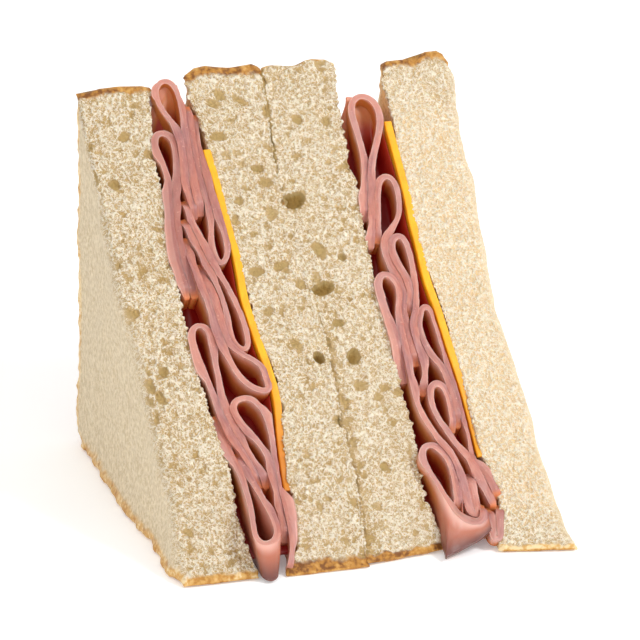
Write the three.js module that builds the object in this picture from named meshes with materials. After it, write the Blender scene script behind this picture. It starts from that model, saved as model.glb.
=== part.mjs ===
// A ham and cheese sandwich on thick white bread, cut corner to corner. The two halves stand side
// by side, each on one crusted side, with the cut faces sloping up and back from the front.
// Millimetres, +Z up. X runs across the layers, the cut faces look towards -Y.
//
// A place in the food is given as (x, down, deep): x across the layers, down the length along the
// cut from its top edge, and deep the distance in from the cut face, square to it.

import * as THREE from 'three';

// Driving dimensions.
const SLICE_LENGTH = 118; // the crusted side that lies on the table, along Y
const SLICE_HEIGHT = 107; // the crusted side that stands at the back
const CORNER_SOFTNESS = 15; // how much of the corner between those two sides is rounded away
const TIP = 1.5; // how blunt the sharp ends of the slices are
const CRUST_FLARE = 2.4; // how far the outer faces spread near the table
const FLARE_HEIGHT = 14; // how fast that spread dies away upwards
const HAM = 1.7; // thickness of a slice of ham
const CHEESE = 2.3; // thickness of a slice of cheese
const CHEESE_SIDE = 79; // the square slice of cheese, cut corner to corner
const GAP = 0.5; // left open between neighbours in a filling
const SEAM_GAP = 0.3; // left open between the two inner slices of bread
const PINCH = 0.3; // share of the filling's width that is lost at the deepest corner
const TABLE_CLEARANCE = 0.6; // how far the drooping ham stays above the table

const CUT = Math.hypot(SLICE_LENGTH, SLICE_HEIGHT);
const DEEPEST = (SLICE_LENGTH * SLICE_HEIGHT) / CUT;
const CHEESE_EDGE = CHEESE_SIDE * Math.SQRT2;

// Where each slice of bread starts and ends down the cut, and how far its left and right faces
// slip forward at the foot.
const SLICES = {
  bread_1: { top: 0.3, toe: 158, slip: [0, 0] },
  bread_2: { top: -2.8, toe: 157.6, slip: [0, 0] },
  bread_3: { top: -3.2, toe: 157.2, slip: [0, -4] },
  bread_4: { top: -0.8, toe: 158, slip: [0, 5] },
};
const CHEESE_TOP = { left: 21.5, right: 18.5 };

// Faces of the bread where they meet the cut, as [down, x], from the top of the cut to its foot.
const FACES = {
  outerLeft: [[0, -56], [40, -56.4], [68, -56.6], [100, -55], [132, -54.6], [CUT, -55.7]],
  innerLeft1: [
    [0, -35.4], [14, -37.4], [30, -39], [57, -40.4], [78, -39.8], [105, -38.5],
    [120, -37], [133, -37.2], [CUT, -34.8],
  ],
  innerLeft2: [
    [0, -23], [9, -22.6], [18, -21], [38, -20.4], [52, -19.2], [72, -19.2], [84, -18.2],
    [97, -15.4], [106, -16.2], [120, -19], [131, -19.4], [145, -20.2], [CUT, -24.5],
  ],
  seam: [[0, -0.8], [38, -3], [60, -1.8], [74, -1.9], [88, -0.7], [105, -1.4], [130, -1.8], [CUT, -3.4]],
  innerRight3: [[0, 21.2], [12, 19.8], [44, 18.6], [75, 17.5], [100, 18.4], [120, 17.7], [143, 17.8], [CUT, 20.2]],
  innerRight4: [
    [0, 35.9], [8, 34.6], [20, 35.7], [36, 35.2], [52, 34.4], [68, 34.4], [85, 36], [100, 36.2],
    [114, 37.6], [131, 37.4], [143, 38.8], [CUT, 35],
  ],
  outerRight: [
    [0, 56], [5, 56.8], [17, 55.6], [38, 54.3], [57, 52.9], [80, 51.9], [96, 52], [116, 53.6],
    [141, 54.3], [CUT, 55.8],
  ],
};

// Each slice of ham is a folded ribbon where the cut shows it: its middle line as [x, down].
// cap is how deep it reaches, proud how far it stands out of the cut. hang lets the lowest fold
// slip forward out of the sandwich and droop to the table.
const HAM_LEFT = [
  {
    name: 'ham_left_1', cap: 52, proud: 0.8,
    path: [
      [-30.5, 34], [-29.7, 25], [-29.2, 17], [-30.4, 13], [-33, 8.5], [-34.2, 5], [-33.2, 1.5],
      [-30.8, -0.8], [-28.6, -0.8], [-27.1, 2], [-27.3, 8], [-27.5, 15], [-28, 24], [-28.6, 34],
    ],
  },
  {
    name: 'ham_left_2', cap: 56, proud: 0.2,
    path: [
      [-25.6, 6], [-25.2, 12], [-26, 24], [-26.4, 36], [-26.6, 47], [-27.8, 54], [-27.4, 58.5],
      [-25.6, 60.5], [-23.4, 58.5], [-22.8, 55], [-23.4, 49], [-24, 43], [-24.2, 33], [-24.2, 23],
      [-23.8, 11],
    ],
  },
  {
    name: 'ham_left_3', cap: 60, proud: 0.6,
    path: [
      [-33.6, 44], [-32.2, 51], [-30.4, 58], [-28.6, 65], [-27.4, 72], [-27.2, 78], [-27.4, 84],
      [-26, 88], [-24, 88.5], [-22.6, 86], [-22.8, 81], [-23.5, 74], [-25, 68], [-27, 60.5],
      [-29.2, 52], [-31, 45.5], [-32.2, 38],
    ],
  },
  {
    name: 'ham_left_4', cap: 58, proud: 1.4,
    path: [
      [-34.4, 50], [-34, 60], [-32.4, 71], [-31, 83], [-29.5, 92.5], [-27, 99], [-23.5, 102.2],
      [-20.8, 101.5], [-19.6, 98.5], [-20.4, 95.5], [-23, 93], [-27, 89.5], [-29.2, 84],
      [-29.9, 77], [-30.5, 71], [-31.4, 65], [-32.6, 59],
    ],
  },
  {
    name: 'ham_left_5', cap: 50, proud: 0.3,
    path: [
      [-37.2, 71], [-37.4, 62], [-37.7, 50], [-36.6, 41], [-35.6, 33], [-36.4, 27], [-37.2, 21.5],
      [-36.5, 17.5], [-34.5, 15.8], [-32.2, 16.2], [-31.4, 20], [-32.2, 27], [-33.6, 36],
      [-35.2, 46], [-35.6, 56], [-35.2, 64], [-35.2, 71],
    ],
  },
  {
    name: 'ham_left_6', cap: 60, proud: 0.5,
    path: [
      [-28.8, 131], [-32, 121], [-35.2, 111], [-36.6, 103], [-37.2, 94], [-38.2, 86], [-38.2, 81],
      [-37, 78.8], [-34.5, 78.8], [-33, 82], [-33, 90], [-34, 98], [-34.2, 105], [-31.8, 114],
      [-29, 123], [-26.6, 131],
    ],
  },
  {
    name: 'ham_left_7', cap: 54, proud: 1,
    path: [
      [-23.8, 147], [-24.2, 138], [-24.4, 130], [-25.2, 123], [-27.6, 116], [-30.6, 110.5],
      [-32, 105.8], [-30.6, 103], [-27.5, 102.5], [-24.8, 104.5], [-23.2, 109], [-22.6, 116],
      [-22.6, 126], [-22.2, 136], [-22.4, 148], [-24.6, 155],
    ],
  },
  {
    name: 'ham_left_8', cap: 40, proud: 0.4,
    hang: { from: 122, full: 146, out: 10, lean: 3, aside: 0.6, taper: 0.75, lowest: -31.5, curl: 0.12 },
    path: [
      [-36.1, 115], [-34.8, 121], [-33, 130], [-32.4, 137], [-33.6, 143.5], [-33.2, 148],
      [-31.2, 150.3], [-28.6, 150.3], [-26.4, 147.5], [-26.2, 142.5], [-27.6, 137], [-29.8, 131],
      [-32, 122], [-33.8, 116],
    ],
  },
];

const HAM_RIGHT = [
  {
    name: 'ham_right_1', cap: 54, proud: 0.9,
    path: [
      [19.4, 57], [20.4, 47], [22, 38], [23.6, 30], [23.2, 25], [22.5, 19], [22.7, 13.5],
      [24.6, 10], [27.2, 9], [29.8, 9.8], [31.3, 13.5], [31, 18.5], [29, 24], [26.3, 30],
      [24.4, 37], [22.6, 46], [21.4, 57],
    ],
  },
  {
    name: 'ham_right_2', cap: 60, proud: 0.4,
    path: [
      [23, 56], [23.8, 48], [25, 41], [26.6, 37], [28.6, 36], [30.4, 38], [30.8, 43], [30.4, 48],
      [28.4, 52], [24.8, 56.4], [23, 60.5], [23.4, 65], [25.2, 71], [26, 76], [24.6, 83],
      [23.8, 90], [24, 98],
    ],
  },
  {
    name: 'ham_right_3', cap: 62, proud: 0.7,
    path: [
      [25.6, 82], [26.8, 77], [27.9, 72.5], [27, 67.5], [25.4, 62.5], [25, 58.8], [27, 56.2],
      [29.2, 56.8], [30.2, 60], [29.9, 68], [29.5, 74], [28, 80], [27.4, 86], [27.2, 94],
      [26.6, 100], [24.6, 105.5], [23.8, 109.5],
    ],
  },
  {
    name: 'ham_right_4', cap: 56, proud: 1.3,
    path: [
      [19.8, 102], [19.4, 92], [19.6, 82], [18.9, 74.5], [19, 70.5], [21, 68.5], [23.4, 70],
      [24.2, 74], [22.8, 80], [21.8, 87], [21.8, 98], [21.8, 108], [23, 116], [25, 122.5],
      [27.2, 128], [28.8, 136], [30, 141], [30.2, 144.8],
    ],
  },
  {
    name: 'ham_right_5', cap: 58, proud: 0.5,
    path: [
      [31.4, 106], [30.6, 99.5], [28.8, 94.5], [27.6, 89], [27.6, 84], [29, 80.5], [31, 80.3],
      [32.2, 83.5], [32, 91], [32.2, 100], [33.4, 110], [34.2, 120], [35.2, 128], [36.6, 136],
      [37.6, 144.5],
    ],
  },
  {
    name: 'ham_right_6', cap: 52, proud: 1,
    path: [
      [36, 147.5], [35.4, 139], [33.6, 132.5], [31.4, 126], [28.2, 119.5], [26, 113.5],
      [25.4, 109], [27, 105.6], [29.4, 105.6], [31, 109], [30.7, 115], [31.2, 122], [33, 128.5],
    ],
  },
  {
    name: 'ham_right_7', cap: 30, proud: 1.2,
    hang: { from: 132, full: 144, out: 6, lean: 2, aside: -1, taper: 0.95, lowest: 20, curl: 0.05 },
    path: [
      [27.8, 146.4], [26.8, 142], [26.6, 136], [26.5, 130],
      [25, 126], [22, 124], [19.6, 125], [18.9, 129], [20, 134], [22.4, 139], [24.4, 144],
      [26.8, 148], [30, 150.3], [32.6, 149], [33.4, 145.5], [33, 141.5],
    ],
  },
  {
    name: 'ham_right_8', cap: 14, proud: 0.2,
    path: [[36.4, 150], [36, 153], [34, 156.5]],
  },
];

const bread = new THREE.MeshStandardMaterial({ color: '#efe4c8', roughness: 0.95, metalness: 0 });
const ham = new THREE.MeshStandardMaterial({ color: '#d9918a', roughness: 0.45, metalness: 0 });
const cheese = new THREE.MeshStandardMaterial({ color: '#f3b32c', roughness: 0.5, metalness: 0 });

const smooth = (t) => {
  const s = THREE.MathUtils.clamp(t, 0, 1);
  return s * s * (3 - 2 * s);
};

// Value at a place down the cut, easing from each station to the next.
function along(stations, down) {
  if (down <= stations[0][0]) return stations[0][1];
  for (let i = 1; i < stations.length; i += 1) {
    const [end, value] = stations[i];
    const [start, before] = stations[i - 1];
    if (down <= end) return before + (value - before) * smooth((down - start) / (end - start));
  }
  return stations[stations.length - 1][1];
}

function place(x, down, deep) {
  const y = SLICE_LENGTH / 2 - (down * SLICE_LENGTH - deep * SLICE_HEIGHT) / CUT;
  const z = SLICE_HEIGHT - (down * SLICE_HEIGHT + deep * SLICE_LENGTH) / CUT;
  return new THREE.Vector3(x, y, z);
}

// Distance from the cut to the crust, with the square corner rounded.
function crustDepth(down, top) {
  const back = TIP + ((down - top) * SLICE_LENGTH) / SLICE_HEIGHT;
  const foot = ((CUT - down) * SLICE_HEIGHT) / SLICE_LENGTH;
  const near = Math.max(CORNER_SOFTNESS - Math.abs(back - foot), 0) / CORNER_SOFTNESS;
  return Math.min(back, foot) - (near * near * CORNER_SOFTNESS) / 4;
}

// The filling gets evenly thinner towards the crust, about a middle plane.
const pinch = (x, deep, middle) => middle + (x - middle) * (1 - (PINCH * deep) / DEEPEST);

const LEFT_MIDDLE = -29.5;
const RIGHT_MIDDLE = 27;

function outward(x, down, deep) {
  const { y, z } = place(x, down, deep);
  const spread = CRUST_FLARE * smooth((y + 30) / 70) * Math.exp(-z / FLARE_HEIGHT);
  return x + Math.sign(x) * spread * smooth(deep / 12);
}

function solid(name, positions, triangles, material) {
  const geometry = new THREE.BufferGeometry();
  geometry.setAttribute('position', new THREE.Float32BufferAttribute(positions, 3));
  geometry.setIndex(triangles);
  geometry.computeVertexNormals();
  const mesh = new THREE.Mesh(geometry, material);
  mesh.name = name;
  return mesh;
}

// A closed skin over rings of points. Each ring runs down one side of a strip and back up the
// other, and facets across the strip close the first and last rings.
function ringedSolid(name, rings, material) {
  const around = rings[0].length;
  const triangles = [];
  for (let k = 0; k + 1 < rings.length; k += 1) {
    for (let i = 0; i < around; i += 1) {
      const a = k * around + i;
      const b = k * around + ((i + 1) % around);
      triangles.push(a, b, b + around, a, b + around, a + around);
    }
  }
  const last = (rings.length - 1) * around;
  const closeEnds = (a, b, c) => triangles.push(a, c, b, last + a, last + b, last + c);
  for (let i = 0; i < around / 2 - 1; i += 1) {
    const across = around - 1 - i;
    closeEnds(i, i + 1, across - 1);
    closeEnds(i, across - 1, across);
  }
  const positions = rings.flat().flatMap((point) => point.toArray());
  return solid(name, positions, triangles, material);
}

// A slice of bread or cheese: a left and a right face over a triangle with one side on the cut.
function wedge({ name, from, to, rows, columns, depthAt, left, right, slip = [0, 0], material }) {
  const rings = [];
  for (let j = 0; j <= columns; j += 1) {
    const leftSide = [];
    const rightSide = [];
    for (let i = 0; i <= rows; i += 1) {
      const down = from + ((to - from) * i) / rows;
      const deep = (depthAt(down) * j) / columns;
      const foot = smooth((2 * down) / CUT - 1);
      const forward = (amount) => new THREE.Vector3(0, -amount * foot, 0);
      leftSide.push(place(left(down, deep), down, deep).add(forward(slip[0])));
      rightSide.push(place(right(down, deep), down, deep).add(forward(slip[1])));
    }
    rings.push([...rightSide, ...leftSide.reverse()]);
  }
  return ringedSolid(name, rings, material);
}

function breadSlice(name, left, right) {
  const { top, toe, slip } = SLICES[name];
  const depthAt = (down) => crustDepth(down, top);
  return wedge({
    name, left, right, slip, depthAt, from: top, to: toe, rows: 30, columns: 4, material: bread,
  });
}

function cheeseSlice(name, top, face, middle) {
  const bottom = top + CHEESE_EDGE;
  const offset = -(GAP + CHEESE / 2);
  const faceAt = (edge) => (down, deep) => pinch(along(face, down) + offset + edge, deep, middle);
  return wedge({
    name,
    from: top,
    to: bottom,
    rows: 20,
    columns: 2,
    depthAt: (down) => Math.max(Math.min(down - top, bottom - down), TIP),
    left: faceAt(-CHEESE / 2),
    right: faceAt(CHEESE / 2),
    material: cheese,
  });
}

// Points about a spacing apart on a smooth curve through a path.
function evenPoints(path, spacing) {
  const curve = new THREE.SplineCurve(path.map(([x, down]) => new THREE.Vector2(x, down)));
  return curve.getSpacedPoints(Math.round(curve.getLength() / spacing));
}

// Presses the folds of one filling together: no two runs of ham come closer than the pitch, none
// enters a wall, and each ribbon stays smooth and keeps its length.
function settle(ribbons, walls) {
  const ROUNDS = 160;
  const STEP = 1.2;
  const pitch = HAM + GAP;
  const lines = ribbons.map((ribbon) => evenPoints(ribbon.path, STEP));
  const runs = lines.flatMap((line, ribbon) => line.map((point, index) => ({ point, ribbon, index })));
  const away = new THREE.Vector2();
  for (let round = 0; round < ROUNDS; round += 1) {
    for (let i = 0; i < runs.length; i += 1) {
      for (let j = i + 1; j < runs.length; j += 1) {
        const a = runs[i];
        const b = runs[j];
        if (a.ribbon === b.ribbon && j - i < 4) continue;
        away.subVectors(a.point, b.point);
        const distance = away.length();
        if (distance < pitch && distance > 0) {
          away.multiplyScalar((0.25 * (pitch - distance)) / distance);
          a.point.add(away);
          b.point.sub(away);
        }
      }
    }
    for (const line of lines) {
      for (let i = 1; i + 1 < line.length; i += 1) {
        const between = line[i - 1].clone().add(line[i + 1]).multiplyScalar(0.5);
        line[i].lerp(between, 0.12);
      }
      for (let i = 1; i < line.length; i += 1) {
        away.subVectors(line[i], line[i - 1]);
        away.multiplyScalar((0.25 * (away.length() - STEP)) / away.length());
        line[i - 1].add(away);
        line[i].sub(away);
      }
      for (const point of line) {
        const [low, high] = walls(point.y);
        point.x = Math.min(Math.max(point.x, low + pitch - HAM / 2), high - pitch + HAM / 2);
      }
    }
  }
  return lines;
}

// Drops the points that a straight facet already passes close to.
function thinned(line, tolerance) {
  const kept = [line[0]];
  let start = 0;
  for (let end = 2; end < line.length; end += 1) {
    const chord = new THREE.Vector2().subVectors(line[end], line[start]);
    const strays = line.slice(start + 1, end).some((point) => {
      const offset = new THREE.Vector2().subVectors(point, line[start]);
      return Math.abs(chord.cross(offset)) / chord.length() > tolerance;
    });
    if (strays) {
      start = end - 1;
      kept.push(line[start]);
    }
  }
  return [...kept, line[line.length - 1]];
}

// How deep a slice of ham reaches: it pokes out a little at the top and stays inside elsewhere.
function hamDepth(down, cap) {
  const back = (down * SLICE_LENGTH) / SLICE_HEIGHT - 3 + 10 * Math.exp(-down / 12);
  const foot = ((CUT - down) * SLICE_HEIGHT) / SLICE_LENGTH - 3 + 2 * Math.exp((down - CUT) / 10);
  return Math.max(Math.min(back, foot, cap), TIP);
}

// The way the drooping folds slip out of the sandwich: forward, a little up and to the left.
const SLIP = new THREE.Vector3(-0.26, -0.9, 0.34);

// The two edges of a ribbon of ham, half a thickness to each side of its middle line.
function ribbonEdges(line) {
  return [HAM / 2, -HAM / 2].map((offset) => line.map((point, i) => {
    const before = line[Math.max(i - 1, 0)];
    const after = line[Math.min(i + 1, line.length - 1)];
    const run = new THREE.Vector2().subVectors(after, before).normalize();
    return new THREE.Vector2(point.x + offset * run.y, point.y - offset * run.x);
  }));
}

// Where a corner of the ribbon's edge goes in a drooping fold, from the lip at 0 to the foot at 1.
function hangingPoint(corner, share, { proud, hang }, centre) {
  const lip = place(corner.x, corner.y, -proud).addScaledVector(SLIP, hang.out);
  const foot = new THREE.Vector3(
    centre + (lip.x - centre) * hang.taper + hang.aside,
    lip.y - hang.lean,
    TABLE_CLEARANCE,
  );
  foot.z += hang.curl * (foot.x - hang.lowest) ** 2;
  return lip.lerp(foot, share);
}

function hamSheet(sheet, line, middle) {
  const { name, cap, proud, hang } = sheet;
  const centre = line.reduce((sum, point) => sum + point.x, 0) / line.length;
  const edges = ribbonEdges(line);
  const steps = hang ? 4 : 1;
  const rings = [];
  for (let k = 0; k <= steps; k += 1) {
    const share = k / steps;
    const sides = edges.map((edge) => edge.map((corner, i) => {
      const deep = share * (hamDepth(line[i].y, cap) + proud) - proud;
      const inside = place(pinch(corner.x, deep, middle), corner.y, deep);
      if (!hang) return inside;
      const freed = smooth((line[i].y - hang.from) / (hang.full - hang.from));
      return inside.lerp(hangingPoint(corner, share, sheet, centre), freed);
    }));
    rings.push([...sides[0], ...sides[1].reverse()]);
  }
  return ringedSolid(name, rings, ham);
}

function filling(ribbons, cheeseTop, lowFace, highFace, middle) {
  const walls = (down) => {
    const beside = down > cheeseTop - HAM && down < cheeseTop + CHEESE_EDGE + HAM;
    const cheeseRoom = beside ? CHEESE + GAP : 0;
    return [along(lowFace, down), along(highFace, down) - cheeseRoom];
  };
  return settle(ribbons, walls).map((line, i) => hamSheet(ribbons[i], thinned(line, 0.07), middle));
}

const sandwich = new THREE.Group();
const face = (stations, middle, shift = 0) => (down, deep) =>
  pinch(along(stations, down) + shift, deep, middle);
const outer = (stations) => (down, deep) => outward(along(stations, down), down, deep);
const seam = (shift) => (down) => along(FACES.seam, down) + shift;

sandwich.add(
  breadSlice('bread_1', outer(FACES.outerLeft), face(FACES.innerLeft1, LEFT_MIDDLE)),
  breadSlice('bread_2', face(FACES.innerLeft2, LEFT_MIDDLE), seam(-SEAM_GAP / 2)),
  breadSlice('bread_3', seam(SEAM_GAP / 2), face(FACES.innerRight3, RIGHT_MIDDLE)),
  breadSlice('bread_4', face(FACES.innerRight4, RIGHT_MIDDLE), outer(FACES.outerRight)),
  cheeseSlice('cheese_left', CHEESE_TOP.left, FACES.innerLeft2, LEFT_MIDDLE),
  cheeseSlice('cheese_right', CHEESE_TOP.right, FACES.innerRight4, RIGHT_MIDDLE),
  ...filling(HAM_LEFT, CHEESE_TOP.left, FACES.innerLeft1, FACES.innerLeft2, LEFT_MIDDLE),
  ...filling(HAM_RIGHT, CHEESE_TOP.right, FACES.innerRight3, FACES.innerRight4, RIGHT_MIDDLE),
);

// The origin is the middle of the footprint, on the table.
const bounds = new THREE.Box3().setFromObject(sandwich);
const centre = bounds.getCenter(new THREE.Vector3());
sandwich.position.set(-centre.x, -centre.y, -bounds.min.z);

export default sandwich;
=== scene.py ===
"""Looks of a ham and cheese sandwich on thick white bread, cut corner to corner, on a pale table.

Lengths are in millimetres until a mesh is made, and a place in the food is (x, down, deep) as in
the model: x across the layers, down the length along the cut from its top edge, and deep the
distance in from the cut face, square to it.
"""

import math

import bmesh
import bpy
import numpy as np
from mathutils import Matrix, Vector


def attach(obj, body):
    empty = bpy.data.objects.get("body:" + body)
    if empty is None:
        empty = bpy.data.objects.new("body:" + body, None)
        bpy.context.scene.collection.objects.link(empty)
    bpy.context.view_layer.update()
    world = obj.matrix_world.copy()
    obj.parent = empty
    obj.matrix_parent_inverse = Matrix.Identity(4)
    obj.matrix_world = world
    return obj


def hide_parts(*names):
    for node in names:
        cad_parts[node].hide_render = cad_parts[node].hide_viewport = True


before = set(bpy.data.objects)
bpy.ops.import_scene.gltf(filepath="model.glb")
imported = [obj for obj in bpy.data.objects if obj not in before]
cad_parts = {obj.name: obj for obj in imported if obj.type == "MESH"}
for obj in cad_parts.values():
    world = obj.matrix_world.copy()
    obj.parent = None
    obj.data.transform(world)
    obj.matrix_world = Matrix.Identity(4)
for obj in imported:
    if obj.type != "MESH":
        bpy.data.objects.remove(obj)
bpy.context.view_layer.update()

MM = 0.001

# The sandwich's driving sizes. The ham and cheese are a little smaller than in the model.
SLICE_LENGTH, SLICE_HEIGHT = 118.0, 107.0
CORNER_SOFTNESS, TIP = 15.0, 1.5  # how much of the back corner and the sharp ends is rounded off
CRUST_FLARE, FLARE_HEIGHT = 2.4, 14.0  # how far the outer faces spread near the table
HAM_PITCH = 1.72  # between the middles of two touching slices of ham
HAM = 1.62  # its thickness where nothing presses on it
CHEESE, CHEESE_SIDE = 2.25, 78.0
PAST_CHEESE = 1.5  # how far past the ends of the cheese the ham still keeps clear of it
PINCH = 0.3  # share of the filling's width that is lost at the deepest corner
TABLE_CLEARANCE = 0.6  # how far the drooping ham stays above the table
CUT = math.hypot(SLICE_LENGTH, SLICE_HEIGHT)
DEEPEST = SLICE_LENGTH * SLICE_HEIGHT / CUT
CHEESE_EDGE = CHEESE_SIDE * math.sqrt(2)
CHEESE_TOP = {"left": 22.3, "right": 18.3}
# The left edge of each slice of cheese on the cut, as (down, x).
CHEESE_EDGE_AT = {
    "left": [
        (22, -23.3), (26, -22.8), (35, -22.4), (45, -22.1), (50, -21.8), (55, -21.4), (60, -21.4),
        (65, -21.8), (70, -22), (75, -21.8), (80, -21.3), (85, -20.9), (90, -20.4), (96, -19.6),
        (102, -19), (106, -19.4), (110, -20), (121, -21.2), (132, -22),
    ],
    "right": [
        (18, 32), (25, 32.1), (35, 32.5), (45, 32.5), (50, 32.2), (60, 32.3), (65, 32.1), (70, 32.2),
        (75, 32.6), (80, 33), (85, 33.5), (90, 33.8), (95, 34), (100, 34.4), (105, 34.9), (110, 35.3),
        (120, 35.4), (130, 35.2),
    ],
}
# The middle of each filling, which it is pinched towards.
MIDDLE = {"left": -29.5, "right": 27.0}

# Where each slice starts and ends down the cut, and how far its faces slip forward at the foot.
SLICES = {
    "bread_1": {"top": 0.3, "toe": 158.0, "slip": (0, 0)},
    "bread_2": {"top": -2.8, "toe": 158.4, "slip": (0, 0)},
    "bread_3": {"top": -3.2, "toe": 157.2, "slip": (0, -4)},
    "bread_4": {"top": -0.8, "toe": 158.0, "slip": (0, 5)},
}

# Faces of the bread where they meet the cut, as (down, x).
FACES = {
    "outer_left": [(0, -56.4), (40, -56.6), (68, -56.8), (100, -55.6), (132, -55), (CUT, -55.8)],
    "inner_1": [
        (0, -34.6), (6, -36), (14, -37), (26, -38.4), (32, -37.8), (40, -38.1), (48, -39.2), (56, -40),
        (63, -39.1), (70, -39.7), (84, -39.6), (105, -38.8), (114, -37.5), (123, -36.7), (133, -36.5),
        (139, -37), (147, -36), (CUT, -34.3),
    ],
    "inner_2": [
        (0, -23.4), (5, -23.4), (10, -22.2), (20, -21.3), (28, -20.6), (42, -20.1), (53, -19.1),
        (70, -18.9), (84, -18.2), (96, -16.4), (105, -16.6), (112, -17.6), (121, -18.9), (132, -19.9),
        (140, -20), (147, -21), (153, -23.3), (CUT, -26.6),
    ],
    "seam": [
        (0, -0.8), (38, -3), (60, -1.8), (74, -1.9), (88, -0.7), (105, -1.4), (130, -1.8), (CUT, -3.4),
    ],
    "inner_3": [
        (0, 21.2), (9, 19.9), (20, 19.2), (32, 18.8), (40, 19.2), (50, 18.5), (75, 17.5), (83, 17.7),
        (95, 18.2), (108, 18), (114, 18.8), (124, 18.5), (131, 17.6), (141, 17.7), (147, 19),
        (153.5, 20.8), (CUT, 21.2),
    ],
    "inner_4": [
        (0, 35.9), (8, 34.7), (18, 35.1), (36, 35.1), (52, 34.3), (64, 34.4), (77, 35.7), (88, 36.5),
        (104, 37.2), (127, 37.1), (137, 38.3), (143, 38.8), (148, 37.7), (CUT, 35),
    ],
    "outer_right": [
        (0, 56), (5, 56.8), (17, 55.3), (26, 54.5), (33, 54.1), (39, 54.7), (50, 53.8), (62, 53.2),
        (78, 52.2), (82, 51.7), (90, 52.7), (104, 53.5), (113, 54), (125, 53.6), (140, 53.8), (150, 54.6),
        (CUT, 56.3),
    ],
}


def smooth(t):
    s = np.clip(t, 0.0, 1.0)
    return s * s * (3 - 2 * s)


def ease(value, start, over):
    """0 up to a start, then easing to 1 over a length."""
    return smooth((value - start) / over)


def along(stations, down):
    """Value at a place down the cut, easing from each station to the next."""
    down = np.asarray(down, float)
    starts = np.array([s for s, _ in stations])
    values = np.array([v for _, v in stations])
    i = np.clip(np.searchsorted(starts, down, side="left") - 1, 0, len(starts) - 2)
    share = smooth((down - starts[i]) / (starts[i + 1] - starts[i]))
    return values[i] + (values[i + 1] - values[i]) * share


def place(x, down, deep):
    """Points in the model's own millimetres, before its origin is moved to the footprint."""
    y = SLICE_LENGTH / 2 - (down * SLICE_LENGTH - deep * SLICE_HEIGHT) / CUT
    z = SLICE_HEIGHT - (down * SLICE_HEIGHT + deep * SLICE_LENGTH) / CUT
    return np.stack(np.broadcast_arrays(x, y, z), -1)


OUT_OF_CUT = np.array([0, -SLICE_HEIGHT, SLICE_LENGTH]) / CUT


def crust_depth(down, top):
    """How deep a slice reaches behind the cut, to the crust at its back or its foot."""
    back = TIP + (down - top) * SLICE_LENGTH / SLICE_HEIGHT
    foot = (CUT - down) * SLICE_HEIGHT / SLICE_LENGTH
    near = np.maximum(CORNER_SOFTNESS - np.abs(back - foot), 0) / CORNER_SOFTNESS
    return np.minimum(back, foot) - near * near * CORNER_SOFTNESS / 4


def pinch(x, deep, middle):
    """The filling gets thinner towards the crust."""
    return middle + (x - middle) * (1 - PINCH * deep / DEEPEST)


def outward(x, down, deep):
    """The outer faces spread a little where the sandwich stands on the table."""
    p = place(0.0, down, deep)
    spread = CRUST_FLARE * ease(p[..., 1], -30, 70) * np.exp(-p[..., 2] / FLARE_HEIGHT)
    return x + np.sign(x) * spread * smooth(deep / 12)


# Where the origin, the middle of the footprint, lies in the model's own millimetres.
ORIGIN = np.array([-0.94, -0.16, 0.0])

# How thick the baked crust is where each slice's cut passes through it at the top and at the
# foot, and how dark it is baked there, from 0 for pale to 1 for brown.
CRUST = {
    "bread_1": {"top": 2.3, "foot": 2.3, "bake_top": 0.8, "bake_foot": 0.4},
    "bread_2": {"top": 2.9, "foot": 3.0, "bake_top": 0.85, "bake_foot": 1.0},
    "bread_3": {"top": 0.6, "foot": 1.7, "bake_top": 0.1, "bake_foot": 0.8},
    "bread_4": {"top": 2.4, "foot": 1.4, "bake_top": 0.85, "bake_foot": 0.1},
}

# Bumps in the top edge of each slice, as (share of the width, millimetres up the cut).
TOP_EDGE = {
    "bread_1": [(0, 0.3), (0.18, 0.4), (0.32, 1.3), (0.6, 1.5), (0.9, 1), (1, 0.2)],
    "bread_2": [
        (0, 0.3), (0.14, 2.4), (0.3, 2.9), (0.46, 2.1), (0.6, 1.6), (0.75, 1.6), (0.93, 2.2), (1, 1.2),
    ],
    "bread_3": [
        (0, 0.3), (0.06, 0.7), (0.2, 0.5), (0.42, 0), (0.54, 0.5), (0.62, 1.5), (0.7, 1.7), (0.9, 1.2),
        (1, -0.2),
    ],
    "bread_4": [
        (0, 0.6), (0.08, 1.3), (0.4, 1.3), (0.47, 0.9), (0.58, 2), (0.68, 3.3), (0.86, 3.4), (0.93, 2),
        (1, -1),
    ],
}

# Large pores open in the cut faces, as (x, down, width, length, depth), and how they are drawn.
PORE_REACH, PORE_TURN = 0.6, 0.15
PORES = [
    (-0.2, 41.4, 6.0, 4.4, 3.0),
    (3.8, 58.5, 3.6, 5.6, 1.0),
    (2.4, 71, 6.0, 3.8, 2.6),
    (-3.6, 92.5, 3.2, 3.4, 2.6),
    (6.8, 93.5, 3.4, 4.6, 2.2),
    (4.4, 82, 3.2, 2.6, 1.4),
    (-53.9, 96, 4, 5, 1.0),
    (-51.1, 31, 2.6, 2.8, 1.2),
    (-53.2, 73, 2.6, 3, 1.0),
    (-48.7, 92, 2.8, 3, 1.2),
    (-8.5, 30, 3.4, 2.4, 1.4),
    (9.9, 61, 2.2, 2.6, 1.4),
]


def lattice_value(cell, seed):
    """A fixed pseudo-random value from -1 to 1 for each cell of a lattice."""
    mixed = cell[..., 0] * 73856093 ^ cell[..., 1] * 19349663 ^ cell[..., 2] * 83492791
    mixed = (mixed ^ seed * 2654435761) & 0xFFFFFFFF
    mixed = (mixed ^ mixed >> 15) * 2246822519 & 0xFFFFFFFF
    mixed = (mixed ^ mixed >> 13) * 3266489917 & 0xFFFFFFFF
    return ((mixed ^ mixed >> 16) & 0xFFFF) / 32767.5 - 1


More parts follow.
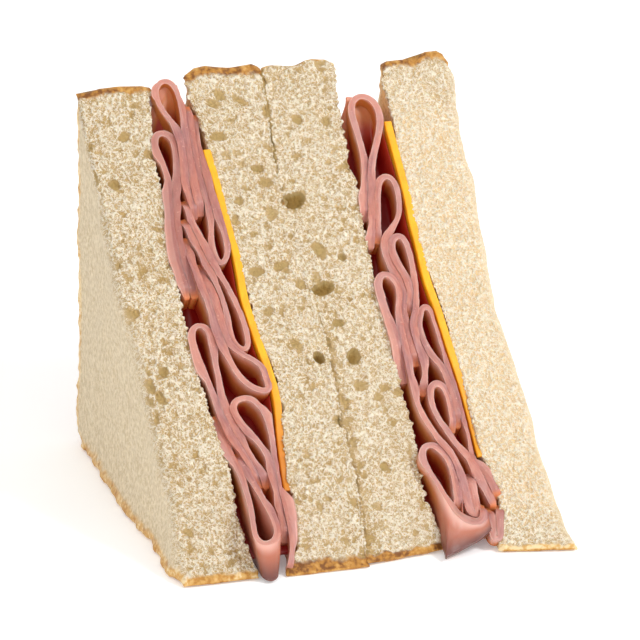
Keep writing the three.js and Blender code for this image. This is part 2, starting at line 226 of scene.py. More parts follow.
def noise(points, size, seed):
    """Smooth noise from -1 to 1 at points, in cells of a size."""
    scaled = points / size
    cell = np.floor(scaled).astype(np.int64)
    share = smooth(scaled - cell)
    total = np.zeros(points.shape[:-1])
    for corner in np.ndindex(2, 2, 2):
        at = np.array(corner)
        weight = np.prod(np.where(at == 1, share, 1 - share), -1)
        total += weight * lattice_value(cell + at, seed)
    return total


# Waves of unevenness, as (height or amount, size, number added to the seed), in millimetres.
WAVES = {
    "skin": [(0.7, 2.4, 0), (0.4, 0.8, 1)],
    "bake": [(0.35, 4.0, 2), (0.35, 1.5, 3)],
    "outer_swell": [(0.65, 13.0, 8), (0.22, 5.0, 9)],
    "inner_swell": [(0.35, 13.0, 8), (0.22, 5.0, 9)],
    "lumps": [(0.40, 3.4, 10), (0.24, 1.4, 11)],
    "tearing": [(0.55, 0.8, 12), (0.45, 2.4, 13)],
    "scallops": [(0.7, 6.0, 14)],
    "torn_edge": [(0.45, 0.8, 15), (0.5, 2.1, 16)],
    "open_edge": [(1.5, 7.0, 17)],
    "cheese": [(0.05, 2.0, 1), (0.03, 0.7, 2)],
    "ham": [(0.09, 2.4, 3), (0.05, 0.9, 4)],
}


def uneven(kind, points, seed, base=0.0):
    """The waves of one kind at points, on top of a base."""
    return sum((high * noise(points, size, seed + n) for high, size, n in WAVES[kind]), base)


def flat_noise(down, across, size, seed):
    return noise(np.stack(np.broadcast_arrays(down, across, 0.5), -1), size, seed)


class Pits:
    """How deep the open crumb is, as a map over the face of a slice of bread."""

    CELL = 0.14

    def __init__(self, low, high):
        self.low = np.array(low, float)
        shape = np.ceil((np.array(high) - self.low) / self.CELL).astype(int) + 2
        self.depth = np.zeros(shape)

    def dent(self, down, across, long, wide, depth, turn):
        """Adds a rounded pit where it is deeper than what is there."""
        reach = max(long, wide)
        centre = (np.array([down, across]) - self.low) / self.CELL
        span = reach / self.CELL
        first = np.maximum(np.floor(centre - span).astype(int), 0)
        last = np.minimum(np.ceil(centre + span).astype(int) + 1, self.depth.shape)
        if np.any(first >= last):
            return
        i, j = np.ogrid[first[0]:last[0], first[1]:last[1]]
        u, v = (i - centre[0]) * self.CELL, (j - centre[1]) * self.CELL
        c, s = math.cos(turn), math.sin(turn)
        inside = 1 - ((u * c + v * s) / long) ** 2 - ((v * c - u * s) / wide) ** 2
        part = self.depth[first[0]:last[0], first[1]:last[1]]
        np.maximum(part, depth * np.sqrt(np.maximum(inside, 0)), out=part)

    def at(self, down, across):
        spot = (np.stack([down, across], -1) - self.low) / self.CELL
        spot = np.clip(spot, 0, np.array(self.depth.shape) - 1.001)
        i, j = np.moveaxis(np.floor(spot).astype(int), -1, 0)
        s, t = np.moveaxis(spot - np.floor(spot), -1, 0)
        d = self.depth
        near = d[i, j] * (1 - t) + d[i, j + 1] * t
        return near * (1 - s) + (d[i + 1, j] * (1 - t) + d[i + 1, j + 1] * t) * s


# Bubbles of the crumb, as (smallest radius, largest radius, number in a square millimetre).
BUBBLES = [(0.24, 0.6, 1.1), (0.5, 1.1, 0.22), (1.0, 1.9, 0.02)]
FEW_LARGE = 1.5  # how much the small ones of a kind outnumber the large
BUBBLE_LENGTH, BUBBLE_DEPTH = (1, 1.7), (0.28, 0.6)  # as shares of the radius


def open_crumb(low, high, seed):
    """Pits left by the bubbles of the crumb: many small, few large."""
    rng = np.random.default_rng(seed)
    pits = Pits(low, high)
    area = (high[0] - low[0]) * (high[1] - low[1])
    for smallest, largest, per_area in BUBBLES:
        count = int(area * per_area)
        places = rng.uniform(low, high, (count, 2))
        radii = smallest * (largest / smallest) ** (rng.random(count) ** FEW_LARGE)
        stretch = rng.uniform(*BUBBLE_LENGTH, count)
        flat = rng.uniform(*BUBBLE_DEPTH, count)
        turns = rng.uniform(0, math.pi, count)
        for (down, across), r, long, share, turn in zip(places, radii, stretch, flat, turns):
            pits.dent(down, across, r * long, r, r * share, turn)
    return pits


def crack(down, deep=0.0):
    """How far the two middle slices part at the top of the seam between them."""
    shallow = 0.65 * (1 - ease(down, 26, 14)) * (1 - ease(deep, 0.2, 0.9))
    return shallow + 0.9 * np.exp(-(down + 3.0) / 2.2)


def show(name, data):
    """A new object, put in the scene."""
    thing = bpy.data.objects.new(name, data)
    bpy.context.scene.collection.objects.link(thing)
    return thing


def skin(name, points, material, node, attributes):
    """A closed mesh over rows of rings: each ring is a loop, and the end rings are filled."""
    rows, around = points.shape[:2]
    row = np.arange(rows - 1)[:, None] * around
    here = np.arange(around)[None, :]
    after = (here + 1) % around
    faces = np.stack([row + here, row + after, row + after + around, row + here + around], -1)
    mesh = bpy.data.meshes.new(name)
    corners = (points.reshape(-1, 3) - ORIGIN) * MM
    mesh.from_pydata(corners, [], faces.reshape(-1, 4).tolist())
    build = bmesh.new()
    build.from_mesh(mesh)
    rims = [edge for edge in build.edges if edge.is_boundary]
    ends = bmesh.ops.holes_fill(build, edges=rims)["faces"]
    bmesh.ops.triangulate(build, faces=ends)
    bmesh.ops.recalc_face_normals(build, faces=build.faces)
    # On a tightly folded strip the faces can all come out turned inwards.
    if build.calc_volume(signed=True) < 0:
        bmesh.ops.reverse_faces(build, faces=build.faces)
    build.to_mesh(mesh)
    build.free()
    mesh.shade_smooth()
    for key, values in attributes.items():
        layer = mesh.attributes.new(key, "FLOAT", "POINT")
        layer.data.foreach_set("value", np.broadcast_to(values, (rows, around)).ravel())
    mesh.materials.append(material)
    piece = show(name, mesh)
    if node:
        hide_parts(node)
    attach(piece, "root")
    return piece


def outward_normals(points, outside):
    """Unit normals of rows of rings, turned so that those on the cut face point out of it."""
    down = np.gradient(points, axis=0)
    around = np.roll(points, -1, axis=1) - np.roll(points, 1, axis=1)
    normals = np.cross(around, down)
    normals /= np.linalg.norm(normals, axis=-1, keepdims=True) + 1e-9
    facing = np.sum(normals[:, 1] @ outside)
    return normals if facing > 0 else -normals


def ring(width, near, far, radii, counts):
    """Distance across and depth round a ring: cut face, right, crust and left in turn.

    radii and counts go round in the same order as the sides, each corner after its side.
    """
    cut, bend_1, right, bend_2, back, bend_3, left, bend_4 = counts
    r1, r2, r3, r4 = (np.minimum(radius, 0.45 * (far - near)) for radius in radii)

    def corner(steps):
        turn = (np.arange(steps) + 0.5) / steps * math.pi / 2
        return np.sin(turn), np.cos(turn)

    (s1, c1), (s2, c2), (s3, c3), (s4, c4) = (corner(n) for n in (bend_1, bend_2, bend_3, bend_4))
    over, under = np.linspace(0, 1, cut), np.linspace(1, 0, back)
    inward, outward_run = np.linspace(0, 1, right) ** 1.6, np.linspace(1, 0, left) ** 1.6
    parts = [
        (r4 + over * (width - r4 - r1), near),
        (width - r1 + r1 * s1, near + r1 - r1 * c1),
        (width, near + r1 + inward * (far - near - r1 - r2)),
        (width - r2 + r2 * c2, far - r2 + r2 * s2),
        (r3 + under * (width - r2 - r3), far),
        (r3 - r3 * s3, far - r3 + r3 * c3),
        (0, near + r4 + outward_run * (far - near - r3 - r4)),
        (r4 - r4 * c4, near + r4 - r4 * s4),
    ]
    columns = [
        np.broadcast_arrays(a, d, np.zeros((len(width), n)))[:2]
        for (a, d), n in zip(parts, counts)
    ]
    return np.hstack([a for a, _ in columns]), np.hstack([d for _, d in columns])


def rows_between(start, end, nose, step):
    """Places of the rows, and how open the ring is there: both ends are rounded by a nose."""
    turn = np.linspace(0.1, math.pi / 2, 7)[:-1]
    tip = nose * (1 - np.cos(turn))
    body = np.linspace(start + nose, end - nose, int((end - start - 2 * nose) / step) + 1)
    rows = np.concatenate([start + tip, body, end - tip[::-1]])
    openness = np.concatenate([np.sin(turn), np.ones(len(body)), np.sin(turn[::-1])])
    return rows[:, None], openness[:, None]


BREAD_NOSE, BREAD_ROW = 1.3, 0.3  # how far its ends are rounded, and the step between its rows
PAST_END, PAST_EDGE = 2, 7.0  # how far the crumb's pits are drawn past the cut face
TEAR_REACH = 0.7  # how fast the torn edges die away across the face
FOOT_SPREAD, FOOT_HEIGHT = 2.3, 9  # how the left side spreads where it stands on the table
SEAM_PRESS = 0.45  # how far each of the middle slices presses past the seam
SIDE_TAN, TAN_WIDTH = 0.75, 2.6  # how much duller the side gets at its skin, and over what width
CUT_COLUMNS, CRUST_COLUMNS, OPEN_SIDE, HIDDEN_SIDE = 84, 24, 36, 9

# How dull each slice's crumb is, from 0 for the palest: painted shade, darker on the left-hand slices,
# which get less light.
SLICE_SHADE = {"bread_1": 0.85, "bread_2": 0.4, "bread_3": 0.4, "bread_4": 0.05}


def slice_of_bread(name, seed, left, right, material):
    """One half slice of soft white bread: open crumb on the cut, finer crumb on its sides."""
    top, toe = SLICES[name]["top"], SLICES[name]["toe"]
    crust = CRUST[name]
    down, openness = rows_between(top, toe, BREAD_NOSE, BREAD_ROW)
    depth = crust_depth(down, top)
    near, far = depth * (1 - openness) / 2, depth * (1 + openness) / 2
    width = right(down, 0.0) - left(down, 0.0)
    open_left, open_right = name == "bread_1", name == "bread_4"
    counts = (
        CUT_COLUMNS, 12 if open_right else 4, OPEN_SIDE if open_right else HIDDEN_SIDE, 4,
        CRUST_COLUMNS, 4, OPEN_SIDE if open_left else HIDDEN_SIDE, 12 if open_left else 4,
    )
    soft_edge = 1.2 + 2.4 * smooth(down / 70)
    radii = (
        soft_edge * 0.8 if open_right else 0.4, 1.6 if open_right else 0.9,
        1.6 if open_left else 0.9, soft_edge if open_left else 0.4,
    )
    across, deep = ring(width, near, far, radii, counts)
    share = across / width
    down = np.broadcast_to(down, across.shape)

    # The uneven top edge fades out down the slice.
    edge = TOP_EDGE[name]
    rise = np.interp(share, [s for s, _ in edge], [r for _, r in edge])
    moved = down - rise * np.exp(-((down - top) / 7) ** 2)

    x = left(down, deep) + (right(down, deep) - left(down, deep)) * share
    points = place(x, moved, deep)
    if open_left:
        at_table = np.exp(-points[..., 2] / FOOT_HEIGHT) * ease(points[..., 1], -58, 12)
        spread = FOOT_SPREAD * at_table * (1 - ease(points[..., 1], 12, 30))
        points[..., 0] -= spread * (1 - share) ** 3
    slip_left, slip_right = SLICES[name]["slip"]
    points[..., 1] -= (slip_left + (slip_right - slip_left) * share) * smooth(2 * down / CUT - 1)

    # The torn edges beside the ham are ragged, and those beside the cheese lie close to it.
    beside_cheese = ease(down, 20, 3) * smooth((132 - down) / 3)
    inside = deep - near
    ragged = uneven("torn_edge", points, seed, 0.25)
    ragged *= (1 - ease(inside, 0.5, 2.5)) * np.where(openness < 1, openness, 1)
    if name in ("bread_1", "bread_3"):
        points[..., 0] += ragged * np.exp((across - width) / TEAR_REACH)
    else:
        against = np.maximum(ragged, 0.5 * np.where(openness < 1, openness, 1))
        ragged += (against - ragged) * beside_cheese
        points[..., 0] -= ragged * np.exp(-across / TEAR_REACH)

    normals = outward_normals(points, OUT_OF_CUT)
    unrolled = np.where(share > 0.5, across + inside, across - inside)

    # How far in from the baked skin each point is, and how much crust that makes it.
    back_gap = (TIP + (down - top) * SLICE_LENGTH / SLICE_HEIGHT - deep) * SLICE_HEIGHT / CUT
    foot_gap = ((CUT - down) * SLICE_HEIGHT / SLICE_LENGTH - deep) * SLICE_LENGTH / CUT
    in_from_skin = np.minimum(np.minimum(back_gap, down - top), np.minimum(foot_gap, toe - down))
    in_from_skin = uneven("skin", points, seed, in_from_skin)
    at_foot = ease(down / CUT, 0.35, 0.3)
    on_side = smooth(inside / 2.5)
    thick = crust["top"] + (crust["foot"] - crust["top"]) * at_foot
    behind = 1.6 if open_left else 1.5 * (1 - at_foot)
    thick = thick + (1.4 + behind - thick) * on_side
    baked = 1 - smooth((in_from_skin - 0.75 * thick) / (0.45 * thick))
    bake = crust["bake_top"] + (crust["bake_foot"] - crust["bake_top"]) * at_foot
    at_back = ease(deep - far, -1.2, 0.8) * smooth(np.minimum(across, width - across) / 1.5)
    bake = bake * (1 - 0.9 * on_side * (1 - at_foot) * (1 - at_back))
    bake = bake + (0.62 - bake) * at_back
    bake = bake + uneven("bake", points, seed) * (1 - 0.5 * at_back)

    # Open crumb is cut into the face, and wraps a little way round onto the sides.
    pits = open_crumb((top - PAST_END, -PAST_EDGE), (toe + PAST_END, width.max() + PAST_EDGE), seed)
    for px, pdown, wide, long, deepness in PORES:
        column = px - float(left(pdown, 0.0))
        if -wide < column < float(right(pdown, 0.0) - left(pdown, 0.0)) + wide:
            pits.dent(pdown, column, PORE_REACH * long, PORE_REACH * wide, deepness, PORE_TURN)
    warp = [
        0.30 * flat_noise(down, unrolled, 0.8, seed + k) + 0.5 * flat_noise(down, unrolled, 3, seed + k)
        for k in (4, 5)
    ]
    depth_here = pits.at(down + warp[0], unrolled + warp[1]) * (0.4 if open_right else 1.0)
    exposed = (1 - on_side) * (1 - 0.85 * baked)
    if open_left:
        reach = 3.0 + 6.0 * smooth(down / 90)
        wraps = smooth(uneven("open_edge", points, seed, share * width - inside + 5.0) / reach)
        exposed = (1 - ease(inside, 3, 4)) * (1 - 0.85 * baked) * (0.1 + 0.9 * wraps)
    if open_right:
        exposed = exposed * (0.25 + 0.75 * ease(width - unrolled, -0.5, 4.0))
    # How deep the open crumb is here; the crumb's colour also takes its painted shade from this.
    pit_and_shade = depth_here * exposed

    grain = 0.5 * flat_noise(down, unrolled, 0.75, seed + 6)
    grain += 0.8 * flat_noise(down, unrolled, 0.42, seed + 7)
    swell = uneven("outer_swell" if open_left or open_right else "inner_swell", points, seed)
    lumps = uneven("lumps", points, seed)
    scallops = uneven("scallops", points, seed) * on_side * (1 - ease(foot_gap, 1, 4))
    torn = smooth(inside / 0.4) * (1 - ease(inside, 0.6, 2.2))
    tearing = uneven("tearing", points, seed)
    height = swell * (0.5 + 0.5 * on_side) + lumps * baked + scallops - pit_and_shade
    height += 0.42 * grain * (0.1 + 0.9 * exposed)
    height += (0.25 + 0.6 * tearing) * torn * (0.2 if open_left or open_right else 1.0)
    # Painted shade: the crack at the top of the seam is coloured a deep olive-brown.
    if name in ("bread_2", "bread_3"):
        by_seam = (width - across) if name == "bread_2" else across
        parted = ease(inside, 0.1, 0.5) * (by_seam < 0.3) * (1 - ease(down, 30, 6))
        pit_and_shade = np.maximum(pit_and_shade, 2.4 * parted)
    # A soft groove beside the seam in the lower half, lowered and also coloured darker as painted shade.
    if name == "bread_3":
        groove = ease(down, 72, 14) * (1 - ease(unrolled, 0.6, 5.0)) * (1 - on_side)
        height -= 1.1 * groove
        pit_and_shade = pit_and_shade + 0.5 * groove
    # The torn sides beside the filling are darkened, partly as juice stain and partly as painted shade,
    # and less so beside the cheese.
    stain_and_shade = 1.6 * ease(inside, 0.2, 0.9)
    if name in ("bread_2", "bread_4"):
        stain_and_shade = stain_and_shade * (1 - 0.75 * beside_cheese * (share < 0.5))
    if open_left or open_right:
        stain_and_shade = stain_and_shade * smooth((share if open_left else 1 - share) * 5 - 3.5)
    near_crust = 1 - smooth((np.minimum(down - top, 1.4 * (toe - down)) - 2) / 24)
    # Dullness holds each slice's painted shade, a baked tint near the crust, the darkened torn sides and
    # the tan at the side's skin.
    dull_and_shade = SLICE_SHADE[name] + 0.3 * near_crust * (1 - on_side) + stain_and_shade
    dull_and_shade = dull_and_shade + SIDE_TAN * on_side * np.exp(-np.maximum(in_from_skin, 0) / TAN_WIDTH)
    height *= np.where(openness < 1, openness, 1)
    points = points + normals * height[..., None]
    points[..., 2] = np.maximum(points[..., 2], 0.0)
    return skin(
        f"{name}_crumb", points, material, name,
        {
            "pit_and_shade": pit_and_shade, "baked": baked, "bake": bake, "side": 1 - exposed,
            "grain": 0.5 + 0.5 * grain * exposed, "dull_and_shade": dull_and_shade,
        },
    )


CHEESE_COLUMNS = (10, 3, 14, 3, 6, 3, 14, 3)


def cheese_edge(side, down):
    """The left edge of the cheese, without sharp bends."""
    return np.mean([along(CHEESE_EDGE_AT[side], down + step) for step in range(-4, 5, 2)], axis=0)


def slice_of_cheese(side, seed, material):
    """A slice of cheese from corner to corner, lying against the bread on its right."""
    start = CHEESE_TOP[side]
    end = start + CHEESE_EDGE
    down, openness = rows_between(start, end, 0.35, 0.7)
    depth = np.maximum(np.minimum(down - start, end - down), TIP)
    sunk = np.minimum(0.8 * ease(down - end, -34, 22), 0.3 * depth)
    near, far = depth * (1 - openness) / 2 + sunk * openness, depth * (1 + openness) / 2
    across, deep = ring(np.full_like(down, CHEESE), near, far, (0.4,) * 4, CHEESE_COLUMNS)
    cut = 1 - smooth((deep - near) / 0.5)
    # Painted shade: the cheese is coloured darker and more orange towards its lower end, where it sinks
    # back, the left slice more.
    low = ease(down - end, -38, 30) * (1.0 if side == "left" else 0.4)
    down = np.broadcast_to(down, across.shape)
    wander = 0.12 * flat_noise(down, deep, 9.0, seed)
    x = cheese_edge(side, down) + across + wander
    points = place(pinch(x, deep, MIDDLE[side]), down, deep)
    normals = outward_normals(points, OUT_OF_CUT)
    height = uneven("cheese", points, seed)
    points = points + normals * height[..., None]
    name = f"cheese_{side}"
    return skin(f"{name}_slice", points, material, name, {"cut": cut, "low": low})


def drooping_hem(x):
    """How far the lower edge of the left fold that slips out rises to either side of it."""
    return 0.04 * (x + 30) ** 2


def fallen_hem(x):
    """Where the lower edge of the right fold that slips out lies, as x and the place down."""
    return np.maximum(x - 6.5 * (1 - ease(x, 24, 8)), 18.9), 159 - 0.8 * np.abs(x - 24.5)


# Each slice of ham is a folded ribbon where the cut shows it. path is its middle line there, as
# (x, down), cap how deep it reaches at most, and proud how far it stands out of the cut.
#
# The rest are given where they differ from the usual. thick is its thickness where nothing presses
# on it, as a share of HAM, and sinks how far from each end it starts to draw back into the cut.
# fills is how much wider a space to another slice it fills than one to its own folds, and to_bread
# how near it has to be to what is on its right to reach out to it. orange is how orange its ends
# are, and brown how brown all of it is. hang lets the lowest folds slip forward out of the
# sandwich: from and full are where down the cut that begins and is complete, out how far they slip,
# and low or edge where their lower edge lies.
HAM_SLICES = {"left": [
    {"cap": 52, "proud": 0.8, "thick": 0.92, "orange": 0.3, "path": [
        (-30.4, 44.5), (-30.3, 39), (-30.4, 33.5), (-29.8, 26.5), (-29.2, 19.5), (-29.1, 15), (-30.8, 12),
        (-32.3, 9.5), (-33.5, 7), (-33.9, 3.5), (-33, 0.5), (-31, -1.3), (-28.8, -1.3), (-27.2, 0.8),
        (-26.8, 5), (-26.9, 9.5), (-27.2, 14.5), (-27.4, 20), (-27.8, 26.5), (-28.4, 33.5), (-28.4, 39.5),
        (-28.2, 43.5),
    ]},
    {"cap": 56, "proud": 0.2, "sinks": (4, 30), "fills": 0.0, "brown": 0.25, "path": [
        (-24.4, 7), (-25.2, 13), (-25.7, 21), (-25.9, 29.5), (-25.5, 37), (-25.3, 43), (-25.8, 47),
        (-26.5, 51), (-27.3, 54.5), (-27.5, 57.5), (-26.9, 59.5), (-25.3, 60), (-23.2, 58), (-22.1, 56),
        (-22.1, 53), (-22.7, 49.5), (-23.2, 46), (-23.5, 42), (-23.8, 37), (-23.9, 29), (-23.8, 21.5),
        (-23.1, 13.5), (-23, 10),
    ]},
    {"cap": 60, "proud": 0.6, "thick": 0.9, "fills": -0.3, "path": [
        (-33.6, 44), (-32.2, 51), (-30.4, 58), (-28.6, 65), (-27.4, 72), (-27.2, 78), (-27.4, 84),
        (-26, 88), (-24, 88.5), (-22.6, 86), (-22.8, 81), (-23.5, 74), (-25, 68), (-27, 60.5),
        (-29.2, 52), (-31, 45.5), (-32.2, 38),
    ]},
    {"cap": 58, "proud": 1.4, "sinks": (12, 12), "path": [
        (-34.4, 50), (-34, 60), (-32.4, 71), (-31.2, 83), (-30, 89), (-28.6, 95), (-26.5, 99),
        (-23.8, 101.3), (-20.7, 102), (-18.8, 100), (-18.4, 97.5), (-19.8, 94.5), (-22.8, 92),
        (-25.3, 90), (-27.8, 87.8), (-29.2, 84), (-29.9, 77), (-30.5, 71), (-31.4, 65), (-32.6, 59),
    ]},
    {"cap": 50, "proud": 0.3, "brown": 0.5, "path": [
        (-37.2, 69.5), (-37.6, 64), (-37.8, 59.5), (-38.2, 54), (-37.7, 48.5), (-37, 43.5), (-36.3, 38),
        (-36, 34.5), (-35.2, 31.5), (-35.6, 28), (-36.3, 24), (-37, 21), (-36.8, 18), (-36.3, 16.3),
        (-34.7, 15.4), (-32.6, 16), (-31.4, 17.5), (-31.2, 20), (-31.9, 24.5), (-32.7, 30), (-33.7, 35.5),
        (-34.5, 38), (-35.4, 43.5), (-35.9, 49), (-35.7, 54.5), (-35.4, 60), (-35, 64.5), (-34.8, 69.5),
    ]},
    {"cap": 60, "proud": 0.5, "path": [
        (-28.8, 131), (-32, 121), (-33.9, 114.5), (-35, 110.5), (-35.8, 106.5), (-36.5, 101),
        (-37.1, 94.3), (-38, 90), (-38.5, 86), (-38.6, 82), (-37.8, 79.3), (-35.7, 78.8), (-33.9, 79.8),
        (-33.5, 82.5), (-33.6, 91.5), (-33.5, 96), (-33.9, 100.5), (-33.9, 105), (-31.8, 114), (-29, 123),
        (-26.6, 131),
    ]},
    {"cap": 54, "proud": 1, "sinks": (3.5, 0.9), "orange": 0.3, "to_bread": 3.9, "path": [
        (-24.5, 148), (-24.4, 138), (-24.5, 130), (-24.5, 123), (-25.5, 119), (-27.5, 115.5),
        (-29.7, 112), (-31.3, 108), (-32, 106), (-30.5, 103.8), (-27.9, 102.8), (-25.1, 103.8),
        (-23.5, 106.3), (-22.5, 110.5), (-22.4, 118), (-22.8, 127.5), (-22.8, 135.5), (-22.9, 141.5),
        (-22.8, 148), (-23.8, 153), (-24.6, 157),
    ]},
    {"cap": 40, "proud": 0.4, "sinks": (16, 3.5),
     "hang": {"from": 122, "full": 146, "out": 9, "low": drooping_hem}, "path": [
        (-37, 107), (-36.6, 112), (-35.6, 117), (-34.8, 121.5), (-33.9, 125.5), (-33.1, 130),
        (-32.5, 135), (-32.6, 140.5), (-33.2, 145), (-32.8, 147.3), (-31, 148), (-28.2, 147.7),
        (-26.4, 145.7), (-26.1, 143), (-27, 139), (-28.4, 135), (-29.6, 130.5), (-30.4, 126),
        (-31.6, 122.5), (-32.9, 119),
    ]},
], "right": [
    {"cap": 54, "proud": 0.9, "thick": 1.2, "orange": 0.2, "path": [
        (19.4, 50), (20.2, 45.5), (21.3, 40), (22.3, 35.7), (23.4, 31.6), (23.6, 28.3), (23.3, 23.7),
        (22.8, 19.7), (22.5, 16), (22.7, 12.7), (24.5, 10.1), (27.2, 9.4), (29.6, 10.8), (31.1, 13.5),
        (31.4, 16.4), (30.8, 19.7), (29.4, 23), (27.7, 26.4), (25.9, 30.5), (24.5, 34.5), (23.5, 38.7),
        (22.8, 42.8), (21.9, 48.4), (21.1, 51.5), (20.1, 55.6), (19.4, 59),
    ]},
    {"cap": 60, "proud": 0.4, "path": [
        (21.4, 57.5), (22.3, 54.5), (23, 52), (23.8, 47), (25.1, 41.6), (26, 38.2), (28.4, 36.3),
        (30.6, 37.7), (31, 42.2), (30.5, 47.8), (28.9, 51.9), (27.2, 53.4), (24.5, 55.3), (23, 57.8),
        (22.5, 60.8), (22.5, 64.3), (23.5, 67.7), (25.2, 71.2), (26.7, 74.5), (26, 78.1), (24.4, 82.1),
        (23.6, 87.5), (23.4, 93), (24, 98),
    ]},
    {"cap": 62, "proud": 0.7, "path": [
        (25.4, 82), (26.9, 77), (27.7, 73), (27.3, 69.5), (26, 66.3), (25, 62.9), (25, 59.6),
        (26.4, 56.8), (28.5, 56.4), (29.8, 58.2), (29.8, 65), (29.9, 69.5), (29.5, 73), (28.3, 76.5),
        (26.8, 80.2), (25.7, 85), (26, 89), (26.6, 94.5), (27.2, 98), (26.7, 100), (25.5, 102.2),
        (24.5, 104.5), (24.1, 107.4),
    ]},
    {"cap": 56, "proud": 1.3, "sinks": (14, 4), "orange": 0.1, "path": [
        (19.9, 103), (19.7, 98), (19.7, 92.2), (19.8, 87), (19.3, 83), (18.8, 78.8), (18.6, 74.6),
        (18.3, 71.9), (19.2, 69.4), (20.8, 68.4), (23, 69.9), (24.6, 72.5), (24, 76.6), (22.7, 80.6),
        (22, 84.6), (22, 92.6), (21.8, 98.3), (21.5, 102.7), (21.1, 107), (21.2, 110), (21.7, 114.4),
        (23.1, 118.9), (24.7, 122.6), (26.4, 126), (28.2, 129), (28.9, 133.8), (28.9, 138), (28.7, 142.5),
        (29, 146), (30.3, 147.4), (31.5, 146), (31.7, 142), (31.2, 137.5), (30.3, 133.5),
    ]},
    {"cap": 58, "proud": 0.5, "sinks": (3.5, 0.8), "brown": 0.3, "to_bread": 3.0, "path": [
        (31.7, 118.5), (32.2, 114), (32.5, 109.7), (32.3, 104.7), (31.5, 101), (30.1, 97.5), (28.5, 94.2),
        (27.4, 90.6), (27, 86.5), (27.7, 82.4), (30, 80.1), (32.5, 81), (33, 84.4), (32.8, 90),
        (32.8, 96.6), (33.2, 101), (33.8, 105.5), (34.2, 110), (34.4, 114.3), (34.8, 118.7),
        (34.6, 123.5), (34.7, 127.5), (36.3, 131.4), (37.2, 135.1), (37.8, 138.7), (38.2, 142.5),
    ]},
    {"cap": 52, "proud": 1, "sinks": (3.5, 0.8), "path": [
        (30.2, 120), (30.7, 115.4), (31.2, 111), (31.1, 107.5), (30, 105.4), (27.7, 104.5), (26.2, 106),
        (25.6, 108.5), (25.2, 111.3), (25.7, 114.8), (27.1, 118.2), (28.5, 121.3), (29.9, 124.7),
        (31.6, 127.8), (33, 130.8), (34, 134.9), (34.7, 138.3), (35.6, 141.9), (36.2, 145.5),
    ]},
    {"cap": 30, "proud": 1.2,
     "hang": {"from": 132, "full": 144, "out": 1.5, "edge": fallen_hem}, "path": [
        (26.4, 144.7), (25.9, 141.3), (26.1, 137.6), (26.8, 134), (26.9, 130.6), (26.3, 127.7),
        (24.8, 125.4), (22.3, 123.7), (20.3, 123.9), (19.2, 126.1), (19.2, 129.5), (20, 132.7),
        (21.5, 136.1), (22.8, 139.9), (23.9, 143.7), (25.4, 147), (27.6, 149.1), (30.1, 149.9),
        (32.6, 148.8), (33.7, 146.4), (33, 143.5),
    ]},
    {"cap": 14, "proud": 0.9, "thick": 1.3, "brown": 0.4, "path": [
        (35.2, 144.5), (34.7, 149), (34.1, 152.5), (34.2, 154.9), (35.2, 155), (35.8, 153), (36.5, 150),
        (37, 146.4), (37.2, 143.5),
    ]},
]}
HAM_STEP = 1.2  # between the points of a middle line while it settles
SETTLE_PASSES, PUSH, STRAIGHTEN = 160, 0.25, 0.06  # the shares are of what is wrong, each pass
BREAD_GIVE, CHEESE_GAP = 0.35, 0.1  # how far ham presses into the bread, and stays off the cheese


def spline(points, per_step):
    """A smooth curve through points, with several places to each step."""
    padded = np.vstack([points[:1], points, points[-1:]])
    t = np.arange(per_step)[:, None, None] / per_step
    a, b, c, d = (padded[k:len(padded) - 3 + k] for k in range(4))
    curve = 0.5 * (
        2 * b + (c - a) * t + (2 * a - 5 * b + 4 * c - d) * t**2 + (3 * b - a - 3 * c + d) * t**3
    )
    return np.vstack([np.moveaxis(curve, 0, 1).reshape(-1, 2), points[-1:]])


def even_points(points, spacing):
    curve = spline(np.asarray(points, float), 40)
    run = np.concatenate([[0], np.cumsum(np.linalg.norm(np.diff(curve, axis=0), axis=1))])
    wanted = np.linspace(0, run[-1], round(run[-1] / spacing) + 1)
    return np.stack([np.interp(wanted, run, curve[:, k]) for k in (0, 1)], -1)


def settle(ribbons, walls):
    """Pushes apart folds that are closer than the pitch, and keeps them between the walls."""
    lines = [even_points(ribbon["path"], HAM_STEP) for ribbon in ribbons]
    ends = np.cumsum([len(line) for line in lines])
    points = np.vstack(lines)
    owner = np.repeat(np.arange(len(lines)), [len(line) for line in lines])
    index = np.arange(len(points))
    linked = (owner[:, None] == owner) & (abs(index[:, None] - index) < 4)
    inner = np.ones(len(points), bool)
    inner[[0, *ends[:-1], *(ends - 1)]] = False
    joined = np.flatnonzero(owner[1:] == owner[:-1])
    middle = np.flatnonzero(inner)
    for _ in range(SETTLE_PASSES):
        apart = points[:, None] - points
        distance = np.linalg.norm(apart, axis=-1)
        pushing = (distance < HAM_PITCH) & ~linked
        push = np.where(pushing, PUSH * (HAM_PITCH - distance) / np.maximum(distance, 1e-6), 0)
        points = points + np.sum(apart * push[..., None], axis=1)
        between = (points[middle - 1] + points[middle + 1]) / 2
        points[middle] += STRAIGHTEN * (between - points[middle])
        step = points[joined + 1] - points[joined]
        length = np.linalg.norm(step, axis=1, keepdims=True)
        pull = step * PUSH * (length - HAM_STEP) / length
        np.add.at(points, joined, pull)
        np.add.at(points, joined + 1, -pull)
        low, high = walls(points[:, 1])
        clear = HAM_PITCH / 2
        points[:, 0] = np.minimum(np.maximum(points[:, 0], low + clear), high - clear)
    return np.split(points, ends[:-1])


HAM_SHORT = 3  # how far the ham stops short of the crust


def ham_depth(down, cap):
    """How deep the ham reaches: it pokes out a little at the top and stays inside elsewhere."""
    back = down * SLICE_LENGTH / SLICE_HEIGHT - HAM_SHORT + 10 * np.exp(-down / 12)
    foot = (CUT - down) * SLICE_HEIGHT / SLICE_LENGTH - HAM_SHORT + 2 * np.exp((down - CUT) / 10)
    return np.maximum(np.minimum(np.minimum(back, foot), cap), TIP)


